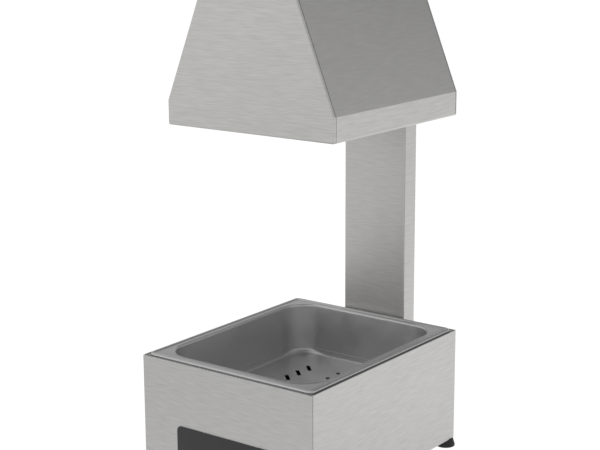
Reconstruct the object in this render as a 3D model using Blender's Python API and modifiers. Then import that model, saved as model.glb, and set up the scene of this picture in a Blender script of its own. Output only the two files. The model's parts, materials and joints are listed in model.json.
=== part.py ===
"""Counter-top chip warmer: a heated-lamp hood on a column over a lift-out pan.

Metres, +Z up.  X is to the right seen from the front, the front faces -Y, and the
origin is the bottom centre of the whole object's box, on the counter.
"""
import math

import bmesh
import bpy
from mathutils import Matrix, Vector

# Overall sizes
BASE_W = 0.275
BASE_D = 0.335
BASE_H = 0.156
SERVING_GAP = 0.298
HOOD_W = 0.263
HOOD_D = 0.2815
HOOD_LIP_H = 0.032
HOOD_SLOPE_H = 0.203
HOOD_TOP_W = 0.100
COLUMN_W = 0.100
COLUMN_D = 0.030
COLUMN_ABOVE_FOLD = 0.100

# Sheet metal and fits
SHEET = 0.0012
GAP = 0.0003
BEND_R = 0.0022
TOP_BEND_R = 0.0014
PLATE_EDGE_BEVEL = 0.0003
CUT_OVERRUN = 0.002
WELD_MERGE = 0.00001

# Base casing
CORNER_RETURN = 0.012
TOP_FLANGE = 0.010
TRAY_FLANGE = 0.012
CUTOUT_CLEARANCE = 0.0025
CUTOUT_LIP = 0.006
VENT_L = 0.040
VENT_W = 0.004
VENT_PITCH = 0.012
VENT_COUNT = 6
VENT_ROW_Y = 0.075

# Badge plate on the front
BADGE_W = 0.160
BADGE_H = 0.045
BADGE_T = 0.0010
BADGE_CORNER_R = 0.006
BADGE_BELOW_TOP = 0.0855

# Feet
FOOT_H = 0.011
FOOT_TOP_R = 0.0108
FOOT_BOTTOM_R = 0.0135
FOOT_INSET = 0.009
FOOT_LIP = 0.0012
FOOT_RECESS_R = 0.0055
FOOT_RECESS_H = 0.0055

# Pan, a half-size gastronorm pan 100 mm deep
PAN_MARGIN = 0.005
PAN_LAND = 0.014
PAN_W = BASE_W - 2 * PAN_MARGIN
PAN_D = BASE_D - 2 * PAN_MARGIN
PAN_DEPTH = 0.100
PAN_T = 0.0008
PAN_RIM_CORNER_R = 0.008
PAN_CURL_R = 0.003
PAN_CURL_END = 48
PAN_GROOVE_INSET = 0.0063
PAN_GROOVE_DROP = 0.0016
PAN_FLAT_INSET = 0.0073
PAN_FLAT_DROP = 0.0010
PAN_OPENING_W = PAN_W - 2 * PAN_LAND
PAN_OPENING_D = PAN_D - 2 * PAN_LAND
PAN_OPENING_CORNER_R = 0.038
PAN_THROAT_R = 0.002
PAN_FILLET_R = 0.012
PAN_DRAFT = math.radians(4)

# Drain plate, the slotted false floor inside the pan
DRAIN_BELOW_RIM = 0.0733
DRAIN_T = 0.0010
DRAIN_EDGE_H = 0.008
DRAIN_EDGE_W = 0.0015
DRAIN_SIDE_CLEARANCE = 0.0004
DRAIN_FLOOR_CORNER_R = 0.060
DRAIN_LEG_R = 0.005
DRAIN_LEG_INSET = 0.030
SLOT_L = 0.0225
SLOT_W = 0.0054
SLOT_PITCH_X = 0.053
SLOT_PITCH_Y = 0.0249
SLOT_SHIFT_Y = -0.0042
SLOT_COLUMNS = 3
SLOT_ROWS = 8
SLOT_TURN = math.radians(-45)

# Column
COLUMN_RETURN = 0.012
COLUMN_BEND_R = 0.0026

# Hood
HOOD_BEND_R = 0.0030
HOOD_PLATE_EDGE_R = 0.0020
HOOD_PLATE_RIM = 0.0032
HOOD_PLATE_FLANGE = 0.010
HOOD_SEAM = 0.0008
HOOD_BOTTOM_RETURN = 0.012

# Pan-head screws
SCREW_R = 0.0020
SCREW_HEAD_R = 0.0040
SCREW_HEAD_H = 0.0026
SCREW_TAIL = 0.0040
COLUMN_SCREW_EDGE = 0.0065
BASE_SCREW_ABOVE_FLOOR = 0.035
BASE_SCREW_BELOW_TOP = 0.036
HOOD_SCREW_ABOVE_LIP = 0.018
HOOD_SCREW_BELOW_CAP = 0.020

# Lamp bracket and lampholder
BRACKET_SHEET = 0.0015
BRACKET_DROP = 0.026
BRACKET_PLATFORM = 0.054
BRACKET_FOOT = 0.014
BRACKET_DEPTH = 0.040
BRACKET_BEND_R = 0.0030
HOLDER_R = 0.022
HOLDER_H = 0.042
HOLDER_SHOULDER = 0.006
HOLDER_BORE_DEPTH = 0.028
NIPPLE_R = 0.0050
NIPPLE_BORE_R = 0.0031
NIPPLE_BELOW = 0.007
NIPPLE_ABOVE = 0.007
NIPPLE_NUT_R = 0.0090
NIPPLE_NUT_H = 0.0040

# Infrared reflector lamp
LAMP_R = 0.0625
LAMP_L = 0.173
LAMP_GLASS_T = 0.0012
LAMP_CAP_R = 0.0133
LAMP_CAP_L = 0.024
LAMP_TIP_R = 0.0055
LAMP_TIP_L = 0.0040
LAMP_CAP_CLEARANCE = 0.0006
LAMP_PROFILE_SHARES = (
    (0.29, 1.00), (0.30, 0.95), (0.36, 0.87), (0.52, 0.73), (0.72, 0.57), (0.90, 0.40),
    (0.985, 0.28), (1.00, 0.21), (0.97, 0.13), (0.86, 0.060), (0.62, 0.022), (0.33, 0.006), (0.0, 0.0))
STEM_R = 0.0050
STEM_L = 0.070
STEM_FLARE_R = 0.0130
STEM_FLARE_L = 0.006
FILAMENT_R = 0.022
FILAMENT_WIRE_R = 0.0007
FILAMENT_DROP = 0.018
FILAMENT_SPREAD = 0.0035

# Wiring
CABLE_R = 0.0025
CABLE_BEND_REACH = 0.016
CABLE_ROOF_CLEARANCE = 0.009
CABLE_WALL_CLEARANCE = 0.012
CABLE_HOLE_ABOVE_FOLD = 0.055
GROMMET_BORE_R = 0.0032
GROMMET_NECK_R = 0.0060
GROMMET_FLANGE_R = 0.0085
GROMMET_FLANGE_T = 0.0015

# Terminal block
BLOCK_W = 0.030
BLOCK_D = 0.012
BLOCK_H = 0.018
BLOCK_Z = 0.088
BLOCK_HOLE_R = 0.0020
BLOCK_HOLE_DEPTH = 0.006
BLOCK_WAYS = 3
BLOCK_BEVEL = 0.0008

# Rocker switch
SWITCH_Z = 0.150
BEZEL_W = 0.0250
BEZEL_H = 0.0310
BEZEL_T = 0.0020
BEZEL_BEVEL = 0.0008
SWITCH_BODY_W = 0.0215
SWITCH_BODY_H = 0.0272
SWITCH_BODY_D = 0.0180
ROCKER_W = 0.0160
ROCKER_HALF_H = 0.0108
ROCKER_CROWN = 0.0020
ROCKER_BACK = 0.0030
ROCKER_SLOPE = math.radians(8)
ROCKER_TILT = math.radians(8)
ROCKER_CLEARANCE = 0.0008
PIVOT_PIN_R = 0.0011
PIVOT_PIN_REACH = 0.0010
PIVOT_BELOW_BEZEL = 0.0022

# Cable gland
GLAND_Z = 0.045
GLAND_BORE_R = 0.0042
GLAND_THREAD_R = 0.0080
GLAND_THREAD_L = 0.009
GLAND_FLANGE_R = 0.0115
GLAND_FLANGE_L = 0.005
GLAND_SPIGOT_R = 0.0068
GLAND_SPIGOT_L = 0.006
GLAND_DOME_R = 0.0105
GLAND_DOME_TIP_R = 0.0065
GLAND_DOME_L = 0.013
GLAND_SEAL_L = 0.003
LOCKNUT_R = 0.0120
LOCKNUT_H = 0.0035

# Facets
CORNER_STEPS = 8
BEND_STEPS = 3
TURN_STEPS = 24
SCREW_STEPS = 12
HOLE_STEPS = 16
ROUTE_ROUNDS = 2
SMOOTH_ANGLE = math.radians(32)

# Heights and depths that follow from the sizes above
Z_BASE = FOOT_H
Z_TOP = Z_BASE + BASE_H
Z_LIP = Z_TOP + SERVING_GAP
Z_FOLD = Z_LIP + HOOD_LIP_H
Z_ROOF = Z_FOLD + HOOD_SLOPE_H
Z_COLUMN_TOP = Z_FOLD + COLUMN_ABOVE_FOLD
GLAND_REACH = GLAND_FLANGE_L + GAP + GLAND_DOME_L
FRONT_REACH = BASE_D / 2 - FOOT_INSET + FOOT_BOTTOM_R
REAR_REACH = BASE_D / 2 + GAP + COLUMN_D + GAP + GLAND_REACH
BASE_Y = (FRONT_REACH - REAR_REACH) / 2
Y_FRONT = BASE_Y - BASE_D / 2
Y_REAR = BASE_Y + BASE_D / 2
HOOD_Y0 = Y_REAR - HOOD_D
HOOD_Y = (HOOD_Y0 + Y_REAR) / 2
COLUMN_Y0 = Y_REAR + GAP
COLUMN_Y1 = COLUMN_Y0 + COLUMN_D
COLUMN_INNER_Y0 = COLUMN_Y0 + 2 * SHEET + GAP
COLUMN_INNER_Y1 = COLUMN_Y1 - SHEET
COLUMN_MID_Y = (COLUMN_INNER_Y0 + COLUMN_INNER_Y1) / 2
NEST = SHEET + GAP
RIM_Z = Z_TOP + GAP + PAN_CURL_R
CABLE_HOLE_Z = Z_FOLD + CABLE_HOLE_ABOVE_FOLD
CABLE_HOLE_R = GROMMET_NECK_R + GAP
SCREW_HOLE_R = SCREW_R + GAP

FACE_BACK = (math.radians(-90), 0, 0)
FACE_FRONT = (math.radians(90), 0, 0)
FACE_DOWN = (math.radians(180), 0, 0)
UPRIGHT = (0, 0, 0)


def clear_scene():
    """Remove every object that the file holds at the start."""
    for obj in list(bpy.data.objects):
        bpy.data.objects.remove(obj, do_unlink=True)


def new_collection(name):
    collection = bpy.data.collections.new(name)
    bpy.context.scene.collection.children.link(collection)
    return collection


clear_scene()
PARTS = new_collection("chip_warmer")
CUTTERS = new_collection("cutters")


# Materials

def finish(name, colour, roughness, metallic=0.0):
    """A plain surface with one colour."""
    material = bpy.data.materials.new(name)
    material.use_nodes = True
    shader = material.node_tree.nodes["Principled BSDF"]
    shader.inputs["Base Color"].default_value = (*colour, 1.0)
    shader.inputs["Roughness"].default_value = roughness
    shader.inputs["Metallic"].default_value = metallic
    return material


FINISHES = {
    "brushed_steel": ((0.60, 0.60, 0.59), 0.34, 1.0),
    "satin_steel": ((0.42, 0.42, 0.42), 0.42, 1.0),
    "rim_steel": ((0.55, 0.55, 0.55), 0.30, 1.0),
    "zinc_steel": ((0.62, 0.63, 0.65), 0.40, 1.0),
    "badge_grey": ((0.045, 0.045, 0.05), 0.45, 0.0),
    "black_rubber": ((0.018, 0.018, 0.018), 0.75, 0.0),
    "black_plastic": ((0.022, 0.022, 0.024), 0.42, 0.0),
    "rocker_black": ((0.030, 0.030, 0.032), 0.30, 0.0),
    "ceramic": ((0.84, 0.82, 0.77), 0.35, 0.0),
    "lamp_glass": ((0.52, 0.05, 0.03), 0.12, 0.0),
    "clear_glass": ((0.80, 0.84, 0.84), 0.08, 0.0),
    "tungsten": ((0.30, 0.29, 0.28), 0.45, 1.0),
    "brass": ((0.72, 0.55, 0.28), 0.32, 1.0),
    "silicone": ((0.50, 0.11, 0.07), 0.60, 0.0),
    "grey_plastic": ((0.30, 0.31, 0.32), 0.50, 0.0),
}
MATERIALS = {}


def material_for(node, slot):
    """Each sub-part has a material of its own, in the finish of its slot."""
    if node not in MATERIALS:
        MATERIALS[node] = finish(f"{node}_{slot}", *FINISHES[slot])
    return MATERIALS[node]


# Building blocks

def add_object(name, data, slot, location=(0, 0, 0), rotation=UPRIGHT):
    """Place mesh or curve data as one named sub-part, or as a cutter when slot is None."""
    obj = bpy.data.objects.new(name, data)
    obj.location = location
    obj.rotation_euler = rotation
    if slot is None:
        CUTTERS.objects.link(obj)
        obj.hide_render = True
        obj.display_type = "WIRE"
    else:
        PARTS.objects.link(obj)
        data.materials.append(material_for(name, slot))
    return obj


def from_bmesh(name, bm, slot, location=(0, 0, 0), rotation=UPRIGHT):
    mesh = bpy.data.meshes.new(name)
    bm.to_mesh(mesh)
    bm.free()
    return add_object(name, mesh, slot, location, rotation)


def add_box_to(bm, size, centre=(0, 0, 0), turn=0.0):
    """Add a closed box to a bmesh, turned about Z."""
    place = Matrix.Translation(centre) @ Matrix.Rotation(turn, 4, "Z") @ Matrix.Diagonal((*size, 1))
    bmesh.ops.create_cube(bm, size=1, matrix=place)


def add_rod_to(bm, radius, length, centre, axis, steps=HOLE_STEPS):
    """Add a closed cylinder to a bmesh, its axis along X, Y or Z."""
    turns = {"X": Matrix.Rotation(math.radians(90), 4, "Y"),
             "Y": Matrix.Rotation(math.radians(90), 4, "X"),
             "Z": Matrix.Identity(4)}
    bmesh.ops.create_cone(bm, cap_ends=True, segments=steps, radius1=radius, radius2=radius,
                          depth=length, matrix=Matrix.Translation(centre) @ turns[axis])


def box(name, size, centre, slot, bevel=0.0, segments=1):
    bm = bmesh.new()
    add_box_to(bm, size)
    obj = from_bmesh(name, bm, slot, centre)
    if bevel:
        round_edges(obj, bevel, segments)
    return obj


def round_edges(obj, width, segments=1):
    bevel = obj.modifiers.new("rounded edges", "BEVEL")
    bevel.width = width
    bevel.segments = segments
    bevel.limit_method = "ANGLE"
    bevel.angle_limit = SMOOTH_ANGLE


def combine(obj, other, operation):
    boolean = obj.modifiers.new(other.name, "BOOLEAN")
    boolean.operation = operation
    boolean.solver = "EXACT"
    boolean.object = other


def cut(obj, bm, name):
    """Cut the closed shapes in a bmesh, given in world coordinates, out of an object."""
    combine(obj, from_bmesh(f"{name}_cutter", bm, None), "DIFFERENCE")


def drill(obj, centres, radius, length, axis, name="holes"):
    bm = bmesh.new()
    for centre in centres:
        add_rod_to(bm, radius, length, centre, axis)
    cut(obj, bm, f"{obj.name}_{name}")


def settle(obj):
    """Turn an object's modifiers into its mesh, and shade its round faces smooth."""
    graph = bpy.context.evaluated_depsgraph_get()
    mesh = bpy.data.meshes.new_from_object(obj.evaluated_get(graph))
    obj.modifiers.clear()
    obj.data = mesh
    mesh.shade_smooth()
    mesh.set_sharp_from_angle(angle=SMOOTH_ANGLE)
    return obj


def turned(name, profile, slot, location, rotation=UPRIGHT, steps=TURN_STEPS, closed=False, wall=0.0):
    """Turn a profile of (radius, height) points about the local Z axis.

    The profile runs down its outer side.  A closed profile is a ring, and a wall
    thickens an open profile inwards.
    """
    bm = bmesh.new()
    verts = [bm.verts.new((radius, 0, height)) for radius, height in profile]
    for first, second in zip(verts, verts[1:]):
        bm.edges.new((first, second))
    if closed:
        bm.edges.new((verts[-1], verts[0]))
    obj = from_bmesh(name, bm, slot, location, rotation)
    screw = obj.modifiers.new("turned", "SCREW")
    screw.axis = "Z"
    screw.angle = math.radians(360)
    screw.steps = steps
    screw.render_steps = steps
    screw.use_merge_vertices = True
    screw.merge_threshold = WELD_MERGE
    if wall:
        thicken(obj, wall, -1)
    return settle(obj)


def thicken(obj, thickness, side):
    """Give an open surface its thickness: side -1 goes against its normals, 1 along them."""
    solidify = obj.modifiers.new("sheet", "SOLIDIFY")
    solidify.thickness = thickness
    solidify.offset = side
    solidify.use_even_offset = True
    solidify.use_quality_normals = True


def arc(centre, radius, start, end, steps=BEND_STEPS):
    """Points on an arc, angles in degrees, both ends included."""
    angles = [math.radians(start + (end - start) * step / steps) for step in range(steps + 1)]
    return [(centre[0] + radius * math.cos(a), centre[1] + radius * math.sin(a)) for a in angles]


def rounded_corner(before, corner, after, radius, steps=BEND_STEPS):
    """Points of an arc that rounds one corner of a path."""
    point = Vector(corner)
    back = (Vector(before) - point).normalized()
    ahead = (Vector(after) - point).normalized()
    half = back.angle(ahead) / 2
    centre = point + (back + ahead).normalized() * (radius / math.sin(half))
    start = point + back * (radius / math.tan(half)) - centre
    end = point + ahead * (radius / math.tan(half)) - centre
    sweep = start.angle_signed(end)
    return [tuple(centre + Matrix.Rotation(-sweep * step / steps, 2) @ start)
            for step in range(steps + 1)]


def rounded_path(points, radius):
    """An open path with its inner corners rounded."""
    path = [points[0]]
    for before, corner, after in zip(points, points[1:], points[2:]):
        path += rounded_corner(before, corner, after, radius)
    return path + [points[-1]]


def rounded_outline(points, radius):
    """A closed outline with all its corners rounded."""
    outline = []
    for index, corner in enumerate(points):
        outline += rounded_corner(points[index - 1], corner, points[(index + 1) % len(points)], radius)
    return outline


def inset_outline(points, inset):
    """Move every side of a convex, anticlockwise outline inwards by the same distance."""
    moved = []
    for index, corner in enumerate(points):
        here = Vector(corner)
        back = (Vector(points[index - 1]) - here).normalized()
        ahead = (Vector(points[(index + 1) % len(points)]) - here).normalized()
        half = back.angle(ahead) / 2
        moved.append(tuple(here + (back + ahead).normalized() * (inset / math.sin(half))))
    return moved


def rounded_rectangle(half_x, half_y, radius, steps=CORNER_STEPS):
    """An anticlockwise rectangle with rounded corners, centred on the origin."""
    points = []
    for quarter, (side_x, side_y) in enumerate(((1, 1), (-1, 1), (-1, -1), (1, -1))):
        centre = (side_x * (half_x - radius), side_y * (half_y - radius))
        points += arc(centre, radius, 90 * quarter, 90 * (quarter + 1), steps)
    return points


def flat_plate(name, outline, thickness, slot, location, rotation):
    """A flat outline, filled and given its thickness about its own plane."""
    curve = bpy.data.curves.new(name, "CURVE")
    curve.dimensions = "2D"
    curve.fill_mode = "BOTH"
    curve.extrude = thickness / 2
    spline = curve.splines.new("POLY")
    spline.points.add(len(outline) - 1)
    for place, (x, y) in zip(spline.points, outline):
        place.co = (x, y, 0, 1)
    spline.use_cyclic_u = True
    drawn = bpy.data.objects.new(f"{name}_outline", curve)
    PARTS.objects.link(drawn)
    graph = bpy.context.evaluated_depsgraph_get()
    mesh = bpy.data.meshes.new_from_object(drawn.evaluated_get(graph))
    bpy.data.objects.remove(drawn, do_unlink=True)
    bm = bmesh.new()
    bm.from_mesh(mesh)
    bmesh.ops.remove_doubles(bm, verts=bm.verts, dist=WELD_MERGE)
    bm.to_mesh(mesh)
    bm.free()
    return add_object(name, mesh, slot, location, rotation)


def folded_sheet(name, path, across, slot, plane, side):
    """A strip of sheet that follows a path in the XZ or XY plane, `across` wide in the third axis."""
    bm = bmesh.new()
    rows = []
    for level in across:
        if plane == "XZ":
            rows.append([bm.verts.new((x, level, z)) for x, z in path])
        else:
            rows.append([bm.verts.new((x, y, level)) for x, y in path])
    for index in range(len(path) - 1):
        bm.faces.new((rows[0][index], rows[0][index + 1], rows[1][index + 1], rows[1][index]))
    obj = from_bmesh(name, bm, slot)
    thicken(obj, SHEET, side)
    return obj


def ring_shell(name, rings, slot, location, thickness, side, floor):
    """Join rings of points by faces, fill the last ring if there is a floor, and add thickness."""
    bm = bmesh.new()
    levels = [[bm.verts.new(point) for point in ring] for ring in rings]
    count = len(levels[0])
    for outer, inner in zip(levels, levels[1:]):
        for index in range(count):
            after = (index + 1) % count
            bm.faces.new((outer[index], outer[after], inner[after], inner[index]))
    if floor:
        bm.faces.new(levels[-1])
    obj = from_bmesh(name, bm, slot, location)
    thicken(obj, thickness, side)
    return obj


def level_ring(half_x, half_y, radius, height):
    return [(x, y, height) for x, y in rounded_rectangle(half_x, half_y, radius)]


def tube(name, points, radius, slot):
    """A round cable or wire along a list of world points."""
    curve = bpy.data.curves.new(name, "CURVE")
    curve.dimensions = "3D"
    curve.bevel_depth = radius
    curve.bevel_resolution = 2
    curve.use_fill_caps = True
    spline = curve.splines.new("POLY")
    spline.points.add(len(points) - 1)
    for place, point in zip(spline.points, points):
        place.co = (*point, 1)
    return add_object(name, curve, slot)


def soft_route(corners, reach):
    """A smooth route near a few corners, straight between them."""
    route = [Vector(corners[0])]
    for before, corner, after in zip(corners, corners[1:], corners[2:]):
        here = Vector(corner)
        for other in (Vector(before), None, Vector(after)):
            if other is None:
                route.append(here)
            else:
                away = other - here
                route.append(here + away.normalized() * min(reach, away.length / 2))
    route.append(Vector(corners[-1]))
    for _ in range(ROUTE_ROUNDS):
        cut_corners = [route[0]]
        for first, second in zip(route, route[1:]):
            cut_corners += [first.lerp(second, 0.25), first.lerp(second, 0.75)]
        route = cut_corners + [route[-1]]
    return [point for index, point in enumerate(route)
            if index == 0 or (point - route[index - 1]).length > WELD_MERGE]


def pan_head_screw(name, under_head, rotation, grip):
    """A screw whose head sits at under_head; its shank runs `grip` plus a tail along local -Z."""
    profile = [(0, SCREW_HEAD_H)]
    profile += [(SCREW_HEAD_R * math.sin(math.radians(a)), SCREW_HEAD_H * math.cos(math.radians(a)))
                for a in (30, 60, 90)]
    profile += [(SCREW_R, 0), (SCREW_R, -grip - SCREW_TAIL), (0, -grip - SCREW_TAIL)]
    return turned(name, profile, "zinc_steel", under_head, rotation, SCREW_STEPS)


def hex_nut(name, corner_r, bore_r, height, centre, axis, slot):
    bm = bmesh.new()
    add_rod_to(bm, corner_r, height, centre, axis, steps=6)
    obj = from_bmesh(name, bm, slot)
    drill(obj, [centre], bore_r, height + 2 * CUT_OVERRUN, axis, "bore")
    return settle(obj)


# Base casing

def column_screw_places(z_low, z_high):
    """The four screws that tie the column to what stands in front of it."""
    side = COLUMN_W / 2 - COLUMN_SCREW_EDGE
    return {"low_left": (-side, z_low), "low_right": (side, z_low),
            "high_left": (-side, z_high), "high_right": (side, z_high)}


BASE_SCREWS = column_screw_places(Z_BASE + BASE_SCREW_ABOVE_FLOOR, Z_TOP - BASE_SCREW_BELOW_TOP)
HOOD_SCREWS = column_screw_places(Z_LIP + HOOD_SCREW_ABOVE_LIP, Z_COLUMN_TOP - HOOD_SCREW_BELOW_CAP)


def make_base_front_panel():
    panel = box("base_front_panel", (BASE_W, SHEET, BASE_H),
                (0, Y_FRONT + SHEET / 2, Z_BASE + BASE_H / 2), "brushed_steel", PLATE_EDGE_BEVEL)
    settle(panel)


def make_base_side_wrap():
    """Left side, back and right side folded from one sheet, with returns behind the front panel."""
    half = BASE_W / 2
    front = Y_FRONT + NEST
    path = rounded_path([(CORNER_RETURN - half, front), (-half, front), (-half, Y_REAR),
                         (half, Y_REAR), (half, front), (half - CORNER_RETURN, front)], BEND_R)
    wrap = folded_sheet("base_side_wrap", path, (Z_BASE, Z_TOP), "brushed_steel", "XY", 1)
    notches = bmesh.new()
    width = BASE_W - 2 * NEST
    for level, depth in ((Z_TOP, TOP_FLANGE), (Z_BASE, TRAY_FLANGE)):
        add_box_to(notches, (width, 2 * NEST + GAP, 2 * (depth + GAP)),
                   (0, front + NEST - GAP, level))
    cut(wrap, notches, "base_side_wrap_notch")
    drill(wrap, [(x, Y_REAR, z) for x, z in BASE_SCREWS.values()], SCREW_HOLE_R,
          2 * (SHEET + CUT_OVERRUN), "Y")
    settle(wrap)


def make_base_top_frame():
    """The flat top round the pan, its outer edge and its cut-out both folded down."""
    half_x, half_y = BASE_W / 2 - NEST, BASE_D / 2 - NEST
    hole_x = PAN_OPENING_W / 2 + PAN_T + CUTOUT_CLEARANCE
    hole_y = PAN_OPENING_D / 2 + PAN_T + CUTOUT_CLEARANCE
    hole_r = PAN_OPENING_CORNER_R + PAN_T + CUTOUT_CLEARANCE
    bend = TOP_BEND_R
    rings = [level_ring(half_x, half_y, BEND_R, -TOP_FLANGE)]
    for inset, drop in arc((bend, -bend), bend, 180, 90):
        rings.append(level_ring(half_x - inset, half_y - inset, BEND_R, drop))
    for inset, drop in arc((-bend, -bend), bend, 90, 0):
        rings.append(level_ring(hole_x - inset, hole_y - inset, hole_r - inset, drop))
    rings.append(level_ring(hole_x, hole_y, hole_r, -CUTOUT_LIP))
    frame = ring_shell("base_top_frame", rings, "brushed_steel", (0, BASE_Y, Z_TOP), SHEET, -1, False)
    settle(frame)


def foot_places():
    x = BASE_W / 2 - FOOT_INSET
    y = BASE_D / 2 - FOOT_INSET
    return {"front_left": (-x, BASE_Y - y), "front_right": (x, BASE_Y - y),
            "rear_left": (-x, BASE_Y + y), "rear_right": (x, BASE_Y + y)}


def make_base_bottom_plate():
    """A shallow tray closing the casing from below, with vents and holes for the foot screws."""
    half_x, half_y = BASE_W / 2 - NEST, BASE_D / 2 - NEST
    rings = [level_ring(half_x, half_y, BEND_R, TRAY_FLANGE)]
    for inset, rise in arc((BEND_R, BEND_R), BEND_R, 180, 270):
        rings.append(level_ring(half_x - inset, half_y - inset, BEND_R, rise))
    plate = ring_shell("base_bottom_plate", rings, "zinc_steel", (0, BASE_Y, Z_BASE), SHEET, 1, True)
    slots = bmesh.new()
    for row in (-1, 1):
        for index in range(VENT_COUNT):
            x = (index - (VENT_COUNT - 1) / 2) * VENT_PITCH
            add_box_to(slots, (VENT_W, VENT_L, 2 * (SHEET + CUT_OVERRUN)),
                       (x, BASE_Y + row * VENT_ROW_Y, Z_BASE))
    cut(plate, slots, "base_bottom_plate_vents")
    drill(plate, [(x, y, Z_BASE) for x, y in foot_places().values()], SCREW_HOLE_R,
          2 * (SHEET + CUT_OVERRUN), "Z")
    settle(plate)


def make_badge_plate():
    """A bare plate on the front, its corners rounded."""
    outline = rounded_rectangle(BADGE_W / 2, BADGE_H / 2, BADGE_CORNER_R)
    place = (0, Y_FRONT - GAP - BADGE_T / 2, Z_TOP - BADGE_BELOW_TOP - BADGE_H / 2)
    settle(flat_plate("badge_plate", outline, BADGE_T, "badge_grey", place, FACE_FRONT))


def make_feet():
    """Four conical rubber feet, each held by a screw from below."""
    recess_top = FOOT_RECESS_H
    foot_top = FOOT_H - GAP
    profile = [(SCREW_HOLE_R, foot_top), (FOOT_TOP_R, foot_top), (FOOT_BOTTOM_R, FOOT_LIP),
               (FOOT_BOTTOM_R, 0), (FOOT_RECESS_R, 0), (FOOT_RECESS_R, recess_top),
               (SCREW_HOLE_R, recess_top)]
    for place, (x, y) in foot_places().items():
        turned(f"foot_{place}", profile, "black_rubber", (x, y, 0), closed=True)
        pan_head_screw(f"foot_screw_{place}", (x, y, recess_top - GAP), FACE_DOWN,
                       FOOT_H - recess_top + SHEET + GAP)


# Pan and drain plate

def pan_inset_at(height):
    """How far the pan's wall has moved in at a height measured from the top of its rim."""
    return -(height + PAN_FLAT_DROP + PAN_THROAT_R) * math.tan(PAN_DRAFT)


def make_pan():
    """A rim with a curled edge and a groove inside it, tapering walls and a filleted floor."""
    rim = arc((PAN_CURL_R, -PAN_CURL_R), PAN_CURL_R, 180, PAN_CURL_END, 2 * BEND_STEPS)
    rim += [(PAN_GROOVE_INSET, -PAN_GROOVE_DROP), (PAN_FLAT_INSET, -PAN_FLAT_DROP)]
    rings = [level_ring(PAN_W / 2 - inset, PAN_D / 2 - inset, PAN_RIM_CORNER_R - inset, drop)
             for inset, drop in rim]
    open_x, open_y = PAN_OPENING_W / 2, PAN_OPENING_D / 2
    throat = (PAN_THROAT_R, -PAN_FLAT_DROP - PAN_THROAT_R)
    for offset, drop in arc(throat, PAN_THROAT_R, 90, 180):
        rings.append(level_ring(open_x + offset, open_y + offset, PAN_OPENING_CORNER_R + offset, drop))
    floor_drop = -PAN_DEPTH
    wall_inset = pan_inset_at(floor_drop + PAN_FILLET_R)
    for offset, rise in arc((0, 0), PAN_FILLET_R, 0, -90, 2 * BEND_STEPS):
        inset = wall_inset + PAN_FILLET_R - offset
        rings.append(level_ring(open_x - inset, open_y - inset, PAN_OPENING_CORNER_R - inset,
                                floor_drop + PAN_FILLET_R + rise))
    pan = ring_shell("pan", rings, "satin_steel", (0, BASE_Y, RIM_Z), PAN_T, -1, True)
    settle(pan)


def make_drain_plate():
    """A slotted false floor with a turned-up edge, standing in the pan on four legs."""
    drop = -DRAIN_BELOW_RIM
    inset = pan_inset_at(drop) + DRAIN_T + DRAIN_SIDE_CLEARANCE
    edge_x, edge_y = PAN_OPENING_W / 2 - inset, PAN_OPENING_D / 2 - inset
    edge_r = PAN_OPENING_CORNER_R - inset
    rings = []
    for reach, rise in arc((0, DRAIN_EDGE_H), 1, 0, -90, 2 * BEND_STEPS):
        sunk = (rise - DRAIN_EDGE_H) * DRAIN_EDGE_H
        radius = DRAIN_FLOOR_CORNER_R + (edge_r - DRAIN_FLOOR_CORNER_R) * reach
        rings.append(level_ring(edge_x - DRAIN_EDGE_W * (1 - reach), edge_y - DRAIN_EDGE_W * (1 - reach),
                                radius, DRAIN_EDGE_H + sunk))
    plate = ring_shell("drain_plate", rings, "satin_steel", (0, BASE_Y, RIM_Z + drop), DRAIN_T, -1, True)
    legs = bmesh.new()
    leg_x, leg_y = edge_x - DRAIN_LEG_INSET, edge_y - DRAIN_LEG_INSET
    leg_bottom = RIM_Z - PAN_DEPTH + GAP
    leg_top = RIM_Z + drop - DRAIN_T / 2
    for x in (-leg_x, leg_x):
        for y in (-leg_y, leg_y):
            add_rod_to(legs, DRAIN_LEG_R, leg_top - leg_bottom,
                       (x, BASE_Y + y, (leg_top + leg_bottom) / 2), "Z")
    combine(plate, from_bmesh("drain_plate_legs", legs, None), "UNION")
    slots = bmesh.new()
    for column in range(SLOT_COLUMNS):
        for row in range(SLOT_ROWS):
            x = (column - (SLOT_COLUMNS - 1) / 2) * SLOT_PITCH_X
            y = (row - (SLOT_ROWS - 1) / 2) * SLOT_PITCH_Y + SLOT_SHIFT_Y
            add_box_to(slots, (SLOT_L, SLOT_W, 2 * (DRAIN_T + CUT_OVERRUN)),
                       (x, BASE_Y + y, RIM_Z + drop), SLOT_TURN)
    cut(plate, slots, "drain_plate_slots")
    settle(plate)


# Column

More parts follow.
